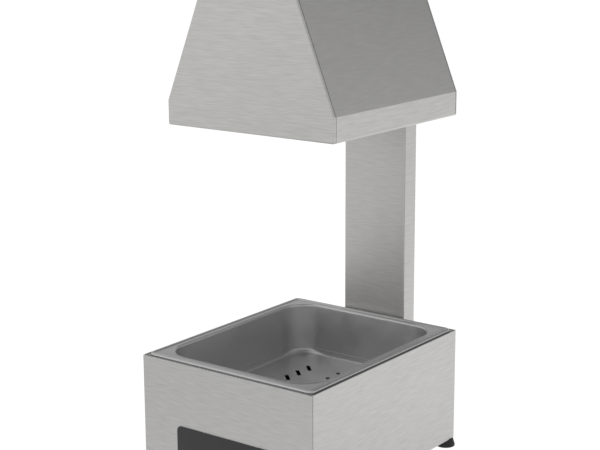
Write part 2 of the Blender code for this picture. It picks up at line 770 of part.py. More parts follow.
def make_column():
    """A channel closed at the front by a flat cover and at both ends by caps."""
    half = COLUMN_W / 2
    low = Z_BASE + NEST
    high = Z_COLUMN_TOP - NEST
    cover = box("column_front_cover", (COLUMN_W, SHEET, high - low),
                (0, COLUMN_Y0 + SHEET / 2, (high + low) / 2), "brushed_steel", PLATE_EDGE_BEVEL)
    holes = [(x, COLUMN_Y0, z) for x, z in (*BASE_SCREWS.values(), *HOOD_SCREWS.values())]
    through = 2 * (NEST + SHEET + CUT_OVERRUN)
    drill(cover, holes, SCREW_HOLE_R, through, "Y")
    drill(cover, [(0, COLUMN_Y0, CABLE_HOLE_Z)], CABLE_HOLE_R, through, "Y", "cable_hole")
    settle(cover)
    front = COLUMN_Y0 + NEST
    path = rounded_path([(COLUMN_RETURN - half, front), (-half, front), (-half, COLUMN_Y1),
                         (half, COLUMN_Y1), (half, front), (half - COLUMN_RETURN, front)],
                        COLUMN_BEND_R)
    channel = folded_sheet("column_channel", path, (low, high), "brushed_steel", "XY", 1)
    drill(channel, holes, SCREW_HOLE_R, through, "Y")
    wall = 2 * (SHEET + CUT_OVERRUN)
    drill(channel, [(0, COLUMN_Y1, GLAND_Z)], GLAND_THREAD_R + GAP, wall, "Y", "gland_hole")
    drill(channel, [(0, COLUMN_Y1, BLOCK_Z)], SCREW_HOLE_R, wall, "Y", "block_hole")
    window = bmesh.new()
    add_box_to(window, (SWITCH_BODY_W + 2 * GAP, wall, SWITCH_BODY_H + 2 * GAP),
               (0, COLUMN_Y1, SWITCH_Z))
    cut(channel, window, "column_channel_switch_window")
    settle(channel)
    for name, level in (("column_top_cap", Z_COLUMN_TOP - SHEET / 2),
                        ("column_bottom_cap", Z_BASE + SHEET / 2)):
        cap = box(name, (COLUMN_W, COLUMN_D, SHEET), (0, (COLUMN_Y0 + COLUMN_Y1) / 2, level),
                  "brushed_steel", PLATE_EDGE_BEVEL)
        settle(cap)
    grip = 2 * SHEET + 2 * GAP + SHEET
    for place, (x, z) in BASE_SCREWS.items():
        pan_head_screw(f"column_base_screw_{place}", (x, Y_REAR - NEST, z), FACE_FRONT, grip)
    for place, (x, z) in HOOD_SCREWS.items():
        pan_head_screw(f"column_hood_screw_{place}", (x, Y_REAR - NEST, z), FACE_FRONT, grip)


# Hood

def hood_outline():
    """The hood's end view, anticlockwise, as X and height above the lip's lower edge."""
    half, top = HOOD_W / 2, HOOD_TOP_W / 2
    height = HOOD_LIP_H + HOOD_SLOPE_H
    return [(-half, 0), (half, 0), (half, HOOD_LIP_H), (top, height), (-top, height),
            (-half, HOOD_LIP_H)]


def hood_ring(inset, y):
    outline = rounded_outline(inset_outline(hood_outline(), inset), HOOD_BEND_R - inset)
    return [(x, y, z) for x, z in outline]


def make_hood_end_plate(name, face_y, inward):
    """A flat end of the hood: a rounded edge, a short rim and a flange that tucks under the sides."""
    flange_end = HOOD_PLATE_RIM + HOOD_SEAM + HOOD_PLATE_FLANGE
    rings = [hood_ring(NEST, inward * flange_end), hood_ring(NEST, inward * HOOD_PLATE_RIM)]
    rings.append(hood_ring(0, inward * HOOD_PLATE_RIM))
    radius = HOOD_PLATE_EDGE_R
    for inset, depth in arc((radius, radius), radius, 180, 270):
        rings.append(hood_ring(inset, inward * depth))
    side = 1 if inward < 0 else -1
    return ring_shell(name, rings, "brushed_steel", (0, face_y, Z_LIP), SHEET, side, True)


def make_hood():
    settle(make_hood_end_plate("hood_front_plate", HOOD_Y0, 1))
    rear = make_hood_end_plate("hood_rear_plate", Y_REAR, -1)
    through = 2 * (SHEET + CUT_OVERRUN)
    drill(rear, [(x, Y_REAR, z) for x, z in HOOD_SCREWS.values()], SCREW_HOLE_R, through, "Y")
    drill(rear, [(0, Y_REAR, CABLE_HOLE_Z)], CABLE_HOLE_R, through, "Y", "cable_hole")
    settle(rear)
    half, top = HOOD_W / 2, HOOD_TOP_W / 2
    corners = [(HOOD_BOTTOM_RETURN - half, Z_LIP), (-half, Z_LIP), (-half, Z_FOLD), (-top, Z_ROOF),
               (top, Z_ROOF), (half, Z_FOLD), (half, Z_LIP), (half - HOOD_BOTTOM_RETURN, Z_LIP)]
    ends = (HOOD_Y0 + HOOD_PLATE_RIM + HOOD_SEAM, Y_REAR - HOOD_PLATE_RIM - HOOD_SEAM)
    wrap = folded_sheet("hood_wrap", rounded_path(corners, HOOD_BEND_R), ends, "brushed_steel", "XZ", -1)
    drill(wrap, [(x, HOOD_Y, Z_ROOF) for x in bracket_screw_places()], SCREW_HOLE_R, through, "Z")
    settle(wrap)


# Lamp

Z_BRACKET = Z_ROOF - SHEET - GAP
Z_PLATFORM = Z_BRACKET - BRACKET_DROP
Z_HOLDER = Z_PLATFORM - BRACKET_SHEET - GAP
Z_HOLDER_MOUTH = Z_HOLDER - HOLDER_H
Z_CAP_TIP = Z_HOLDER_MOUTH + LAMP_CAP_L
Z_LAMP_FACE = Z_CAP_TIP - LAMP_L
LAMP_GLASS_L = LAMP_L - LAMP_CAP_L - GAP
Z_GLASS_TOP = Z_LAMP_FACE + LAMP_GLASS_L


def bracket_screw_places():
    x = BRACKET_PLATFORM / 2 + BRACKET_FOOT / 2
    return (-x, x)


def make_lamp_bracket():
    """A hat-shaped strap under the roof, with the lampholder hanging from its platform."""
    inner = BRACKET_PLATFORM / 2
    outer = inner + BRACKET_FOOT
    path = rounded_path([(-outer, Z_BRACKET), (-inner, Z_BRACKET), (-inner, Z_PLATFORM),
                         (inner, Z_PLATFORM), (inner, Z_BRACKET), (outer, Z_BRACKET)], BRACKET_BEND_R)
    ends = (HOOD_Y - BRACKET_DEPTH / 2, HOOD_Y + BRACKET_DEPTH / 2)
    bracket = folded_sheet("lamp_bracket", path, ends, "zinc_steel", "XZ", -1)
    bracket.modifiers["sheet"].thickness = BRACKET_SHEET
    through = 2 * (BRACKET_SHEET + CUT_OVERRUN)
    drill(bracket, [(x, HOOD_Y, Z_BRACKET) for x in bracket_screw_places()], SCREW_HOLE_R, through, "Z")
    drill(bracket, [(0, HOOD_Y, Z_PLATFORM)], NIPPLE_R + GAP, through, "Z", "nipple_hole")
    settle(bracket)
    for place, x in zip(("left", "right"), bracket_screw_places()):
        pan_head_screw(f"lamp_bracket_screw_{place}", (x, HOOD_Y, Z_ROOF + GAP), UPRIGHT,
                       SHEET + BRACKET_SHEET + 2 * GAP)


def make_lampholder():
    """A ceramic socket on a hollow threaded nipple, clamped by a nut above the platform."""
    bore_r = LAMP_CAP_R + LAMP_CAP_CLEARANCE
    hole_r = NIPPLE_R + GAP
    shoulder_r = HOLDER_R - HOLDER_SHOULDER
    profile = [(hole_r, 0), (shoulder_r, 0), (HOLDER_R, -HOLDER_SHOULDER), (HOLDER_R, -HOLDER_H),
               (bore_r, -HOLDER_H), (bore_r, HOLDER_BORE_DEPTH - HOLDER_H),
               (hole_r, HOLDER_BORE_DEPTH - HOLDER_H)]
    turned("lampholder", profile, "ceramic", (0, HOOD_Y, Z_HOLDER), closed=True)
    low = Z_HOLDER - NIPPLE_BELOW
    high = Z_PLATFORM + NIPPLE_ABOVE
    tube_profile = [(NIPPLE_R, high - low), (NIPPLE_R, 0), (NIPPLE_BORE_R, 0), (NIPPLE_BORE_R, high - low)]
    turned("lampholder_nipple", tube_profile, "brass", (0, HOOD_Y, low), closed=True, steps=HOLE_STEPS)
    hex_nut("lampholder_nut", NIPPLE_NUT_R, NIPPLE_R + GAP, NIPPLE_NUT_H,
            (0, HOOD_Y, Z_PLATFORM + GAP + NIPPLE_NUT_H / 2), "Z", "brass")


def make_lamp():
    """An infrared reflector lamp: screw cap, glass bulb, and the stem and filament inside it."""
    axis = (0, HOOD_Y, 0)
    cap = [(0, Z_CAP_TIP), (LAMP_TIP_R, Z_CAP_TIP), (LAMP_TIP_R, Z_CAP_TIP - LAMP_TIP_L),
           (LAMP_CAP_R, Z_CAP_TIP - 2 * LAMP_TIP_L), (LAMP_CAP_R, Z_GLASS_TOP + GAP), (0, Z_GLASS_TOP + GAP)]
    turned("lamp_cap", cap, "brass", axis)
    glass = [(radius_share * LAMP_R, Z_LAMP_FACE + height_share * LAMP_GLASS_L)
             for radius_share, height_share in LAMP_PROFILE_SHARES]
    turned("lamp_glass", glass, "lamp_glass", axis, wall=LAMP_GLASS_T)
    stem_top = Z_GLASS_TOP - GAP
    stem_end = stem_top - STEM_L
    stem = [(0, stem_top), (STEM_FLARE_R, stem_top), (STEM_R, stem_top - STEM_FLARE_L),
            (STEM_R, stem_end), (0, stem_end)]
    turned("lamp_stem", stem, "clear_glass", axis, steps=HOLE_STEPS)
    level = stem_end - FILAMENT_DROP
    loop = [(x, y, level) for x, y in arc((0, HOOD_Y), FILAMENT_R, 0, 180, CORNER_STEPS)]
    leads = [(side * FILAMENT_SPREAD, HOOD_Y, height) for side, height in
             ((1, stem_end - GAP), (1, stem_end - FILAMENT_DROP / 2),
              (-1, stem_end - FILAMENT_DROP / 2), (-1, stem_end - GAP))]
    tube("lamp_filament", leads[:2] + loop + leads[2:], FILAMENT_WIRE_R, "tungsten")


# Wiring and controls

def make_grommet():
    """A rubber ring through the hood's back and the column's cover."""
    half = (2 * SHEET + GAP) / 2
    outer = half + GAP + GROMMET_FLANGE_T
    inner = half + GAP
    profile = [(GROMMET_BORE_R, outer), (GROMMET_FLANGE_R, outer), (GROMMET_FLANGE_R, inner),
               (GROMMET_NECK_R, inner), (GROMMET_NECK_R, -inner), (GROMMET_FLANGE_R, -inner),
               (GROMMET_FLANGE_R, -outer), (GROMMET_BORE_R, -outer)]
    turned("hood_grommet", profile, "black_rubber", (0, Y_REAR + GAP / 2, CABLE_HOLE_Z), FACE_BACK,
           closed=True, steps=HOLE_STEPS)


def make_cables():
    """The lamp's cable, from the switch up the column and over to the lampholder, and a short link."""
    switch_top = SWITCH_Z + SWITCH_BODY_H / 2
    roof = Z_ROOF - SHEET - CABLE_ROOF_CLEARANCE
    wall = Y_REAR - SHEET - CABLE_WALL_CLEARANCE
    lead_y = COLUMN_Y1 - SWITCH_BODY_D / 2
    corners = [(0, lead_y, switch_top + GAP), (0, lead_y, CABLE_HOLE_Z), (0, wall, CABLE_HOLE_Z),
               (0, wall, roof), (0, HOOD_Y, roof), (0, HOOD_Y, Z_HOLDER)]
    tube("lamp_cable", soft_route(corners, CABLE_BEND_REACH), CABLE_R, "silicone")
    block_y = COLUMN_INNER_Y1 - GAP - BLOCK_D / 2
    link = [(0, block_y, BLOCK_Z + BLOCK_H / 2 + GAP), (0, lead_y, SWITCH_Z - SWITCH_BODY_H / 2 - GAP)]
    tube("switch_cable", link, CABLE_R, "silicone")


def make_terminal_block():
    """A three-way block on the column's back wall, held by one screw from outside."""
    centre = (0, COLUMN_INNER_Y1 - GAP - BLOCK_D / 2, BLOCK_Z)
    block = box("terminal_block", (BLOCK_W, BLOCK_D, BLOCK_H), centre, "ceramic", BLOCK_BEVEL)
    front = centre[1] - BLOCK_D / 2
    places = []
    for way in range(BLOCK_WAYS):
        x = (way - (BLOCK_WAYS - 1) / 2) * BLOCK_W / BLOCK_WAYS
        places += [(x, front, BLOCK_Z + side * BLOCK_H / 4) for side in (-1, 1)]
    drill(block, places, BLOCK_HOLE_R, BLOCK_HOLE_DEPTH, "Y", "wells")
    drill(block, [(0, COLUMN_INNER_Y1, BLOCK_Z)], SCREW_HOLE_R, 2 * (SCREW_TAIL + GAP), "Y", "screw_hole")
    settle(block)
    pan_head_screw("terminal_block_screw", (0, COLUMN_Y1 + GAP, BLOCK_Z), FACE_BACK, SHEET - GAP)


def make_switch():
    """A rocker switch snapped into the column's back, its key tilted to off."""
    bezel = box("switch_body", (BEZEL_W, BEZEL_T, BEZEL_H),
                (0, COLUMN_Y1 + GAP + BEZEL_T / 2, SWITCH_Z), "black_plastic", BEZEL_BEVEL, 2)
    body = bmesh.new()
    body_out = COLUMN_Y1 + GAP + BEZEL_T / 2
    body_in = COLUMN_Y1 - SWITCH_BODY_D
    add_box_to(body, (SWITCH_BODY_W, body_out - body_in, SWITCH_BODY_H),
               (0, (body_out + body_in) / 2, SWITCH_Z))
    combine(bezel, from_bmesh("switch_body_core", body, None), "UNION")
    pivot_y = COLUMN_Y1 + GAP + BEZEL_T - PIVOT_BELOW_BEZEL
    well_r = math.hypot(ROCKER_HALF_H, ROCKER_CROWN + ROCKER_HALF_H * math.tan(ROCKER_SLOPE))
    well = bmesh.new()
    well_half = well_r + ROCKER_CLEARANCE
    well_back = pivot_y - ROCKER_BACK - ROCKER_HALF_H * math.sin(ROCKER_TILT) - ROCKER_CLEARANCE
    well_out = COLUMN_Y1 + GAP + BEZEL_T + CUT_OVERRUN
    add_box_to(well, (ROCKER_W + 2 * ROCKER_CLEARANCE, well_out - well_back, 2 * well_half),
               (0, (well_out + well_back) / 2, SWITCH_Z))
    cut(bezel, well, "switch_body_well")
    pin_hole = ROCKER_W + 2 * (ROCKER_CLEARANCE + PIVOT_PIN_REACH + GAP)
    drill(bezel, [(0, pivot_y, SWITCH_Z)], PIVOT_PIN_R + GAP, pin_hole, "X", "pin_hole")
    settle(bezel)
    make_rocker(pivot_y)


def make_rocker(pivot_y):
    """The key: a shallow V across its face and a pin at each side, turning about X at its pivot."""
    end = ROCKER_CROWN + ROCKER_HALF_H * math.tan(ROCKER_SLOPE)
    outline = [(ROCKER_BACK, -ROCKER_HALF_H), (ROCKER_BACK, ROCKER_HALF_H), (-end, ROCKER_HALF_H),
               (-ROCKER_CROWN, 0), (-end, -ROCKER_HALF_H)]
    rocker = flat_plate("switch_rocker", outline, ROCKER_W, "rocker_black", (0, 0, 0), UPRIGHT)
    rocker.data.transform(Matrix.Rotation(math.radians(-90), 4, "Y"))
    rocker.data.transform(Matrix.Rotation(math.radians(90) - ROCKER_TILT, 4, "X"))
    pins = bmesh.new()
    add_rod_to(pins, PIVOT_PIN_R, ROCKER_W + 2 * (ROCKER_CLEARANCE + PIVOT_PIN_REACH), (0, 0, 0), "X")
    combine(rocker, from_bmesh("switch_rocker_pins", pins, None), "UNION")
    settle(rocker)
    rocker.location = (0, pivot_y, SWITCH_Z)


def make_gland():
    """The mains cord's gland, low on the column's back, with nothing through it."""
    seat = COLUMN_Y1 + GAP
    inner = -(SHEET + GAP + GLAND_THREAD_L)
    body = [(GLAND_BORE_R, GLAND_FLANGE_L + GLAND_SPIGOT_L), (GLAND_SPIGOT_R, GLAND_FLANGE_L + GLAND_SPIGOT_L),
            (GLAND_SPIGOT_R, GLAND_FLANGE_L), (GLAND_FLANGE_R, GLAND_FLANGE_L), (GLAND_FLANGE_R, 0),
            (GLAND_THREAD_R, 0), (GLAND_THREAD_R, inner), (GLAND_BORE_R, inner)]
    turned("gland_body", body, "grey_plastic", (0, seat, GLAND_Z), FACE_BACK, closed=True)
    dome_low = GLAND_FLANGE_L + GAP
    spigot_end = GLAND_FLANGE_L + GLAND_SPIGOT_L + GAP
    seal_end = spigot_end + GLAND_SEAL_L + GAP
    dome_top = dome_low + GLAND_DOME_L
    socket_r = GLAND_SPIGOT_R + GAP
    rise = dome_top - seal_end
    dome = [(GLAND_BORE_R, dome_top), (GLAND_DOME_TIP_R, dome_top),
            ((GLAND_DOME_TIP_R + GLAND_DOME_R) / 2, dome_top - rise / 4),
            (GLAND_DOME_R, dome_top - rise), (GLAND_DOME_R, dome_low), (socket_r, dome_low),
            (socket_r, seal_end), (GLAND_BORE_R, seal_end)]
    turned("gland_dome_nut", dome, "grey_plastic", (0, seat, GLAND_Z), FACE_BACK, closed=True)
    seal = [(GLAND_SPIGOT_R, spigot_end + GLAND_SEAL_L), (GLAND_SPIGOT_R, spigot_end),
            (GLAND_BORE_R, spigot_end), (GLAND_BORE_R, spigot_end + GLAND_SEAL_L)]
    turned("gland_seal", seal, "black_rubber", (0, seat, GLAND_Z), FACE_BACK, closed=True)
    hex_nut("gland_locknut", LOCKNUT_R, GLAND_THREAD_R + GAP, LOCKNUT_H,
            (0, COLUMN_INNER_Y1 - GAP - LOCKNUT_H / 2, GLAND_Z), "Y", "grey_plastic")


make_base_front_panel()
make_base_side_wrap()
make_base_top_frame()
make_base_bottom_plate()
make_badge_plate()
make_feet()
make_pan()
make_drain_plate()
make_column()
make_hood()
make_lamp_bracket()
make_lampholder()
make_lamp()
make_grommet()
make_cables()
make_terminal_block()
make_switch()
make_gland()
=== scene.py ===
"""The chip warmer's looks: materials, detailed pieces, floor, light and camera."""

import json
import math

import bmesh
import bpy
from mathutils import Matrix, Vector


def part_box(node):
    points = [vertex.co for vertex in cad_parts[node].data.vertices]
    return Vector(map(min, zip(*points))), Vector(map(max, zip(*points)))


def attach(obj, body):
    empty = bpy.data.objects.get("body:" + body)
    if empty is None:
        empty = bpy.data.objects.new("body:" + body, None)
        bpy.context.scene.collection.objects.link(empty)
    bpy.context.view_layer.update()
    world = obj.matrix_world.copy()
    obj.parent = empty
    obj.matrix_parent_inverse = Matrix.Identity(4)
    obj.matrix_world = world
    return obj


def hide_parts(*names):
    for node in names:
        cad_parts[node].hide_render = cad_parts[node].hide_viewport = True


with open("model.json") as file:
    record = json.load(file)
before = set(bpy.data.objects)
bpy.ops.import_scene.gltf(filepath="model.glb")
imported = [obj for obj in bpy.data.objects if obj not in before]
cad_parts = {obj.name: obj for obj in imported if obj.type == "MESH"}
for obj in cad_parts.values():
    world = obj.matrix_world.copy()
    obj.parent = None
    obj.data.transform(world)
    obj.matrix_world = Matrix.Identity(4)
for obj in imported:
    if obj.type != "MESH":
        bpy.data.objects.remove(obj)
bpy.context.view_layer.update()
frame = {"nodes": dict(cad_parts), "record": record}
NODES = frame["nodes"]

MM = 0.001
BODY = "warmer"
TURN = 2 * math.pi


# ---- Node materials

def new_material(name):
    material = bpy.data.materials.new(name)
    material.use_nodes = True
    tree = material.node_tree
    return material, tree, tree.nodes["Principled BSDF"]


def add(tree, kind, **values):
    node = tree.nodes.new(kind)
    for key, value in values.items():
        if key in node.inputs:
            node.inputs[key].default_value = value
        else:
            setattr(node, key, value)
    return node


def noise(tree, vector, detail=2.0, roughness=0.5):
    node = add(tree, "ShaderNodeTexNoise", Scale=1.0, Detail=detail, Roughness=roughness)
    tree.links.new(vector, node.inputs["Vector"])
    return node.outputs["Fac"]


def stretched(tree, scale):
    """Object coordinates, so many cells to the metre along each axis."""
    coordinates = add(tree, "ShaderNodeTexCoord")
    mapping = add(tree, "ShaderNodeMapping")
    mapping.inputs["Scale"].default_value = scale
    tree.links.new(coordinates.outputs["Object"], mapping.inputs["Vector"])
    return mapping.outputs["Vector"]


def remap(tree, value, low, high, to_low, to_high):
    node = add(tree, "ShaderNodeMapRange")
    node.inputs["From Min"].default_value = low
    node.inputs["From Max"].default_value = high
    node.inputs["To Min"].default_value = to_low
    node.inputs["To Max"].default_value = to_high
    tree.links.new(value, node.inputs["Value"])
    return node.outputs["Result"]


def join(tree, value, socket):
    """Set a socket from a number, or link it from another socket."""
    if isinstance(value, (int, float)):
        socket.default_value = value
    else:
        tree.links.new(value, socket)


def calculate(tree, operation, first, second=0.0):
    node = add(tree, "ShaderNodeMath", operation=operation)
    join(tree, first, node.inputs[0])
    join(tree, second, node.inputs[1])
    return node.outputs["Value"]


def blended(tree, factor, first, second):
    """Blend two values or sockets of plain grey."""
    node = tree.nodes.new("ShaderNodeMix")
    join(tree, factor, node.inputs["Factor"])
    join(tree, first, node.inputs[2])
    join(tree, second, node.inputs[3])
    return node.outputs[0]


def tinted(tree, factor, dark, light):
    """Blend two colours."""
    node = tree.nodes.new("ShaderNodeMix")
    node.data_type = "RGBA"
    node.inputs[6].default_value = (*dark, 1)
    node.inputs[7].default_value = (*light, 1)
    tree.links.new(factor, node.inputs["Factor"])
    return node.outputs[2]


def bump(tree, height, distance):
    node = add(tree, "ShaderNodeBump", Distance=distance, Strength=1.0)
    tree.links.new(height, node.inputs["Height"])
    return node.outputs["Normal"]


def object_axis(tree, output, axis):
    """One axis of an object's own normal or place."""
    axes = tree.nodes.new("ShaderNodeSeparateXYZ")
    tree.links.new(add(tree, "ShaderNodeTexCoord").outputs[output], axes.inputs[0])
    return axes.outputs[axis]


def facing_up(tree):
    """How far a surface faces up or down, from its own normal."""
    return calculate(tree, "ABSOLUTE", object_axis(tree, "Normal", "Z"))


GRAIN_LONG, GRAIN_FINE = 42.0, 620.0
GRAIN_CLOUD = 9
LONG_MARK, LONG_MARK_FINE = 14, 1100
LEVEL_FACE = 0.9
SIDE_FACE = 0.55
SLOPE_CALM = 0.35
SWING_HALF = 0.25
GRAIN_DEPTH = 0.000004
# Painted seam shade: the extra roughness and the two near-black tones below go on sheet edges and flanges in
# seams.
SEAM_SHADE_ROUGHER = 0.15
QUARTER_TURNED = 0.25
SEAM_SHADE_DARK, SEAM_SHADE_LIGHT = (0.055, 0.055, 0.055), (0.085, 0.085, 0.084)


def seam_shade_edges(tree):
    """Where painted seam shade goes on a sheet that faces front: every face that is turned away from Y."""
    across = calculate(tree, "ABSOLUTE", object_axis(tree, "Normal", "Y"))
    return calculate(tree, "LESS_THAN", across, SIDE_FACE)


def behind(start):
    """The part of a piece that lies further back than one Y, where painted shade goes on the flange in a
    seam.
    """
    def mask(tree):
        return calculate(tree, "GREATER_THAN", object_axis(tree, "Object", "Y"), start)
    return mask


def brushed(name, colour, rough, contrast, spread, seam_shade_mask=None):
    """Brushed sheet: short fine streaks along the sheet, in tone, roughness and height.
    Where the mask is 1 the colour is painted near-black and the metal made rougher, as painted shade in a
    seam."""
    material, tree, shader = new_material(name)
    upright = noise(tree, stretched(tree, (GRAIN_LONG, GRAIN_LONG, GRAIN_FINE)), 1.0, 0.5)
    flat = noise(tree, stretched(tree, (GRAIN_LONG, GRAIN_FINE, GRAIN_LONG)), 1.0, 0.5)
    level = facing_up(tree)
    streaks = blended(tree, calculate(tree, "GREATER_THAN", level, LEVEL_FACE), upright, flat)
    cloud = noise(tree, stretched(tree, (GRAIN_CLOUD, GRAIN_CLOUD, GRAIN_CLOUD)), 2.0)
    long_marks = noise(tree, stretched(tree, (LONG_MARK, LONG_MARK, LONG_MARK_FINE)), 0.0)
    marks = remap(tree, long_marks, 0.70, 0.80, 0.0, 1.0)
    calm = remap(tree, level, 0.0, 0.5, 1.0, SLOPE_CALM)
    swing = calculate(tree, "MULTIPLY", calculate(tree, "SUBTRACT", streaks, 0.5), calm)
    tone = remap(tree, swing, -SWING_HALF, SWING_HALF, 0.0, 1.0)
    dark = tuple(channel * (1 - contrast) for channel in colour)
    light = tuple(channel * (1 + contrast) for channel in colour)
    look = tinted(tree, tone, dark, light)
    worn = calculate(tree, "ADD", calculate(tree, "MULTIPLY", swing, 0.10),
                     calculate(tree, "MULTIPLY", cloud, 0.06))
    worn = calculate(tree, "SUBTRACT", worn, calculate(tree, "MULTIPLY", marks, 0.04))
    worn = calculate(tree, "ADD", worn, rough - 0.03)
    # Painted shade in seams: where the mask is 1 the streaked colour gives way to near-black.
    if seam_shade_mask:
        mask = seam_shade_mask(tree)
        seam_shade_mix = tree.nodes.new("ShaderNodeMix")
        seam_shade_mix.data_type = "RGBA"
        tree.links.new(mask, seam_shade_mix.inputs["Factor"])
        tree.links.new(look, seam_shade_mix.inputs[6])
        tree.links.new(tinted(tree, cloud, SEAM_SHADE_DARK, SEAM_SHADE_LIGHT), seam_shade_mix.inputs[7])
        look = seam_shade_mix.outputs[2]
        worn = calculate(tree, "ADD", worn, calculate(tree, "MULTIPLY", mask, SEAM_SHADE_ROUGHER))
    tree.links.new(look, shader.inputs["Base Color"])
    tree.links.new(worn, shader.inputs["Roughness"])
    tree.links.new(bump(tree, swing, GRAIN_DEPTH), shader.inputs["Normal"])
    shader.inputs["Metallic"].default_value = 1.0
    shader.inputs["Anisotropic"].default_value = spread
    shader.inputs["Anisotropic Rotation"].default_value = QUARTER_TURNED
    return material


def satin(name, colour, rough, metallic=1.0, speckle=1400.0, depth=0.000004, spread=0.06, coat=0.0):
    """A smooth surface with faint mottling and a fine speckle."""
    material, tree, shader = new_material(name)
    cloud = noise(tree, stretched(tree, (38, 38, 38)), 3.0, 0.55)
    dots = noise(tree, stretched(tree, (speckle, speckle, speckle)), 2.0)
    darker = tuple(channel * (1 - spread) for channel in colour)
    lighter = tuple(min(1.0, channel * (1 + spread)) for channel in colour)
    both = calculate(tree, "MULTIPLY", calculate(tree, "ADD", cloud, dots), 0.5)
    tree.links.new(tinted(tree, remap(tree, both, 0.35, 0.65, 0, 1), darker, lighter),
                   shader.inputs["Base Color"])
    tree.links.new(remap(tree, cloud, 0.3, 0.7, rough - 0.04, rough + 0.05), shader.inputs["Roughness"])
    tree.links.new(bump(tree, dots, depth), shader.inputs["Normal"])
    shader.inputs["Metallic"].default_value = metallic
    shader.inputs["Coat Weight"].default_value = coat
    shader.inputs["Coat Roughness"].default_value = 0.05
    return material


def reflector_glass(name, crown, edge):
    """A lamp's blown glass: ruby over the face, silvered from inside above its widest part."""
    material, tree, shader = new_material(name)
    cloud = noise(tree, stretched(tree, (45, 45, 45)), 2.0)
    wavering = calculate(tree, "ADD", object_axis(tree, "Object", "Z"),
                         calculate(tree, "MULTIPLY", cloud, 0.0015))
    silvered = remap(tree, wavering, crown, crown + edge, 0.0, 1.0)
    ruby = tinted(tree, cloud, (0.20, 0.006, 0.006), (0.30, 0.012, 0.009))
    mix = tree.nodes.new("ShaderNodeMix")
    mix.data_type = "RGBA"
    tree.links.new(silvered, mix.inputs["Factor"])
    tree.links.new(ruby, mix.inputs[6])
    mix.inputs[7].default_value = (0.66, 0.64, 0.62, 1)
    tree.links.new(mix.outputs[2], shader.inputs["Base Color"])
    tree.links.new(silvered, shader.inputs["Metallic"])
    tree.links.new(remap(tree, cloud, 0.3, 0.7, 0.10, 0.17), shader.inputs["Roughness"])
    shader.inputs["Coat Weight"].default_value = 0.8
    shader.inputs["Coat Roughness"].default_value = 0.04
    return material


STEEL = (0.585, 0.580, 0.572)
STEEL_LOOK = (STEEL, 0.40, 0.085, 0.6)
LAMP_LOW, LAMP_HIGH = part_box("lamp_glass")
LAMP_WIDEST = LAMP_LOW.z + 0.215 * (LAMP_HIGH.z - LAMP_LOW.z)
FINISHES = {
    "brushed_steel": brushed("brushed_steel", *STEEL_LOOK),
    "satin_steel": satin("satin_steel", (0.62, 0.62, 0.62), 0.36, spread=0.03),
    "zinc_steel": satin("zinc_steel", (0.60, 0.61, 0.63), 0.38, spread=0.10),
    "badge_grey": satin("badge_grey", (0.040, 0.040, 0.043), 0.42, 0.0, spread=0.15),
    "black_rubber": satin("black_rubber", (0.013, 0.013, 0.013), 0.62, 0.0, 900.0, 0.00002, 0.25),
    "black_plastic": satin("black_plastic", (0.020, 0.020, 0.022), 0.42, 0.0, 1100.0, 0.00001, 0.2),
    "rocker_black": satin("rocker_black", (0.022, 0.022, 0.024), 0.28, 0.0, 1100.0, 0.000003, 0.1),
    "ceramic": satin("ceramic", (0.80, 0.78, 0.73), 0.26, 0.0, 260.0, 0.00001, 0.05, 0.6),
    "lamp_glass": reflector_glass("lamp_glass", LAMP_WIDEST, 0.002),
    "clear_glass": satin("clear_glass", (0.80, 0.84, 0.84), 0.1, 0.0, 300.0, 0.000002, 0.03),
    "tungsten": satin("tungsten", (0.30, 0.29, 0.28), 0.4, 1.0),
    "brass": satin("brass", (0.70, 0.52, 0.25), 0.32, 1.0, spread=0.10),
    "silicone": satin("silicone", (0.42, 0.09, 0.06), 0.55, 0.0, 900.0, 0.00001, 0.15),
    "grey_plastic": satin("grey_plastic", (0.20, 0.205, 0.21), 0.48, 0.0, 1000.0, 0.00001, 0.1),
}
# Painted shade: darker, duller steel on the drain plate's slot walls, standing in for the shade inside the
# slots.
SLOT_WALL_SHADE = satin("slot_wall_painted_shade", (0.30, 0.30, 0.30), 0.6, 0.6, spread=0.2)
POLISHED = satin("polished_steel", (0.62, 0.62, 0.62), 0.20, spread=0.03)
# Painted shade: near-black steel laid in the pan rim's groove, standing in for the shadow in the groove.
GROOVE_PAINTED_SHADE = satin("groove_painted_shade", (0.06, 0.06, 0.06), 0.45, spread=0.15)
MARK_WHITE = satin("mark_white", (0.72, 0.72, 0.70), 0.5, 0.0, 900.0, 0.000004, 0.05)
SLOT_OF = {part["node"]: part["material_slot"] for part in frame["record"]["subparts"]}


def dress(obj, *materials):
    obj.data.materials.clear()
    for material in materials:
        obj.data.materials.append(material)


for node_name, node_object in NODES.items():
    dress(node_object, FINISHES[SLOT_OF[node_name]])

HOOD_RIM = 3.3 * MM
# Painted seam shade on the edge faces of the base front panel and the column front cover.
SEAM_SHADED_STEEL = brushed("brushed_steel_painted_seam_shade_edges", *STEEL_LOOK, seam_shade_edges)
for node_name in ("base_front_panel", "column_front_cover"):
    dress(NODES[node_name], SEAM_SHADED_STEEL)
HOOD_SEAM_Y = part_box("hood_front_plate")[0].y + HOOD_RIM
# Painted seam shade on the hood front plate's flange, behind its front rim.
dress(NODES["hood_front_plate"], brushed("brushed_steel_painted_seam_shade_flange", *STEEL_LOOK, behind(HOOD_SEAM_Y)))
# Painted shade: the top frame's margin under the pan rim is steel painted dark, standing in for the shade
# there; its low roughness is its own finish.
dress(NODES["base_top_frame"], satin("top_frame_painted_shade", (0.32, 0.32, 0.32), 0.16, spread=0.06))


# ---- Shapes

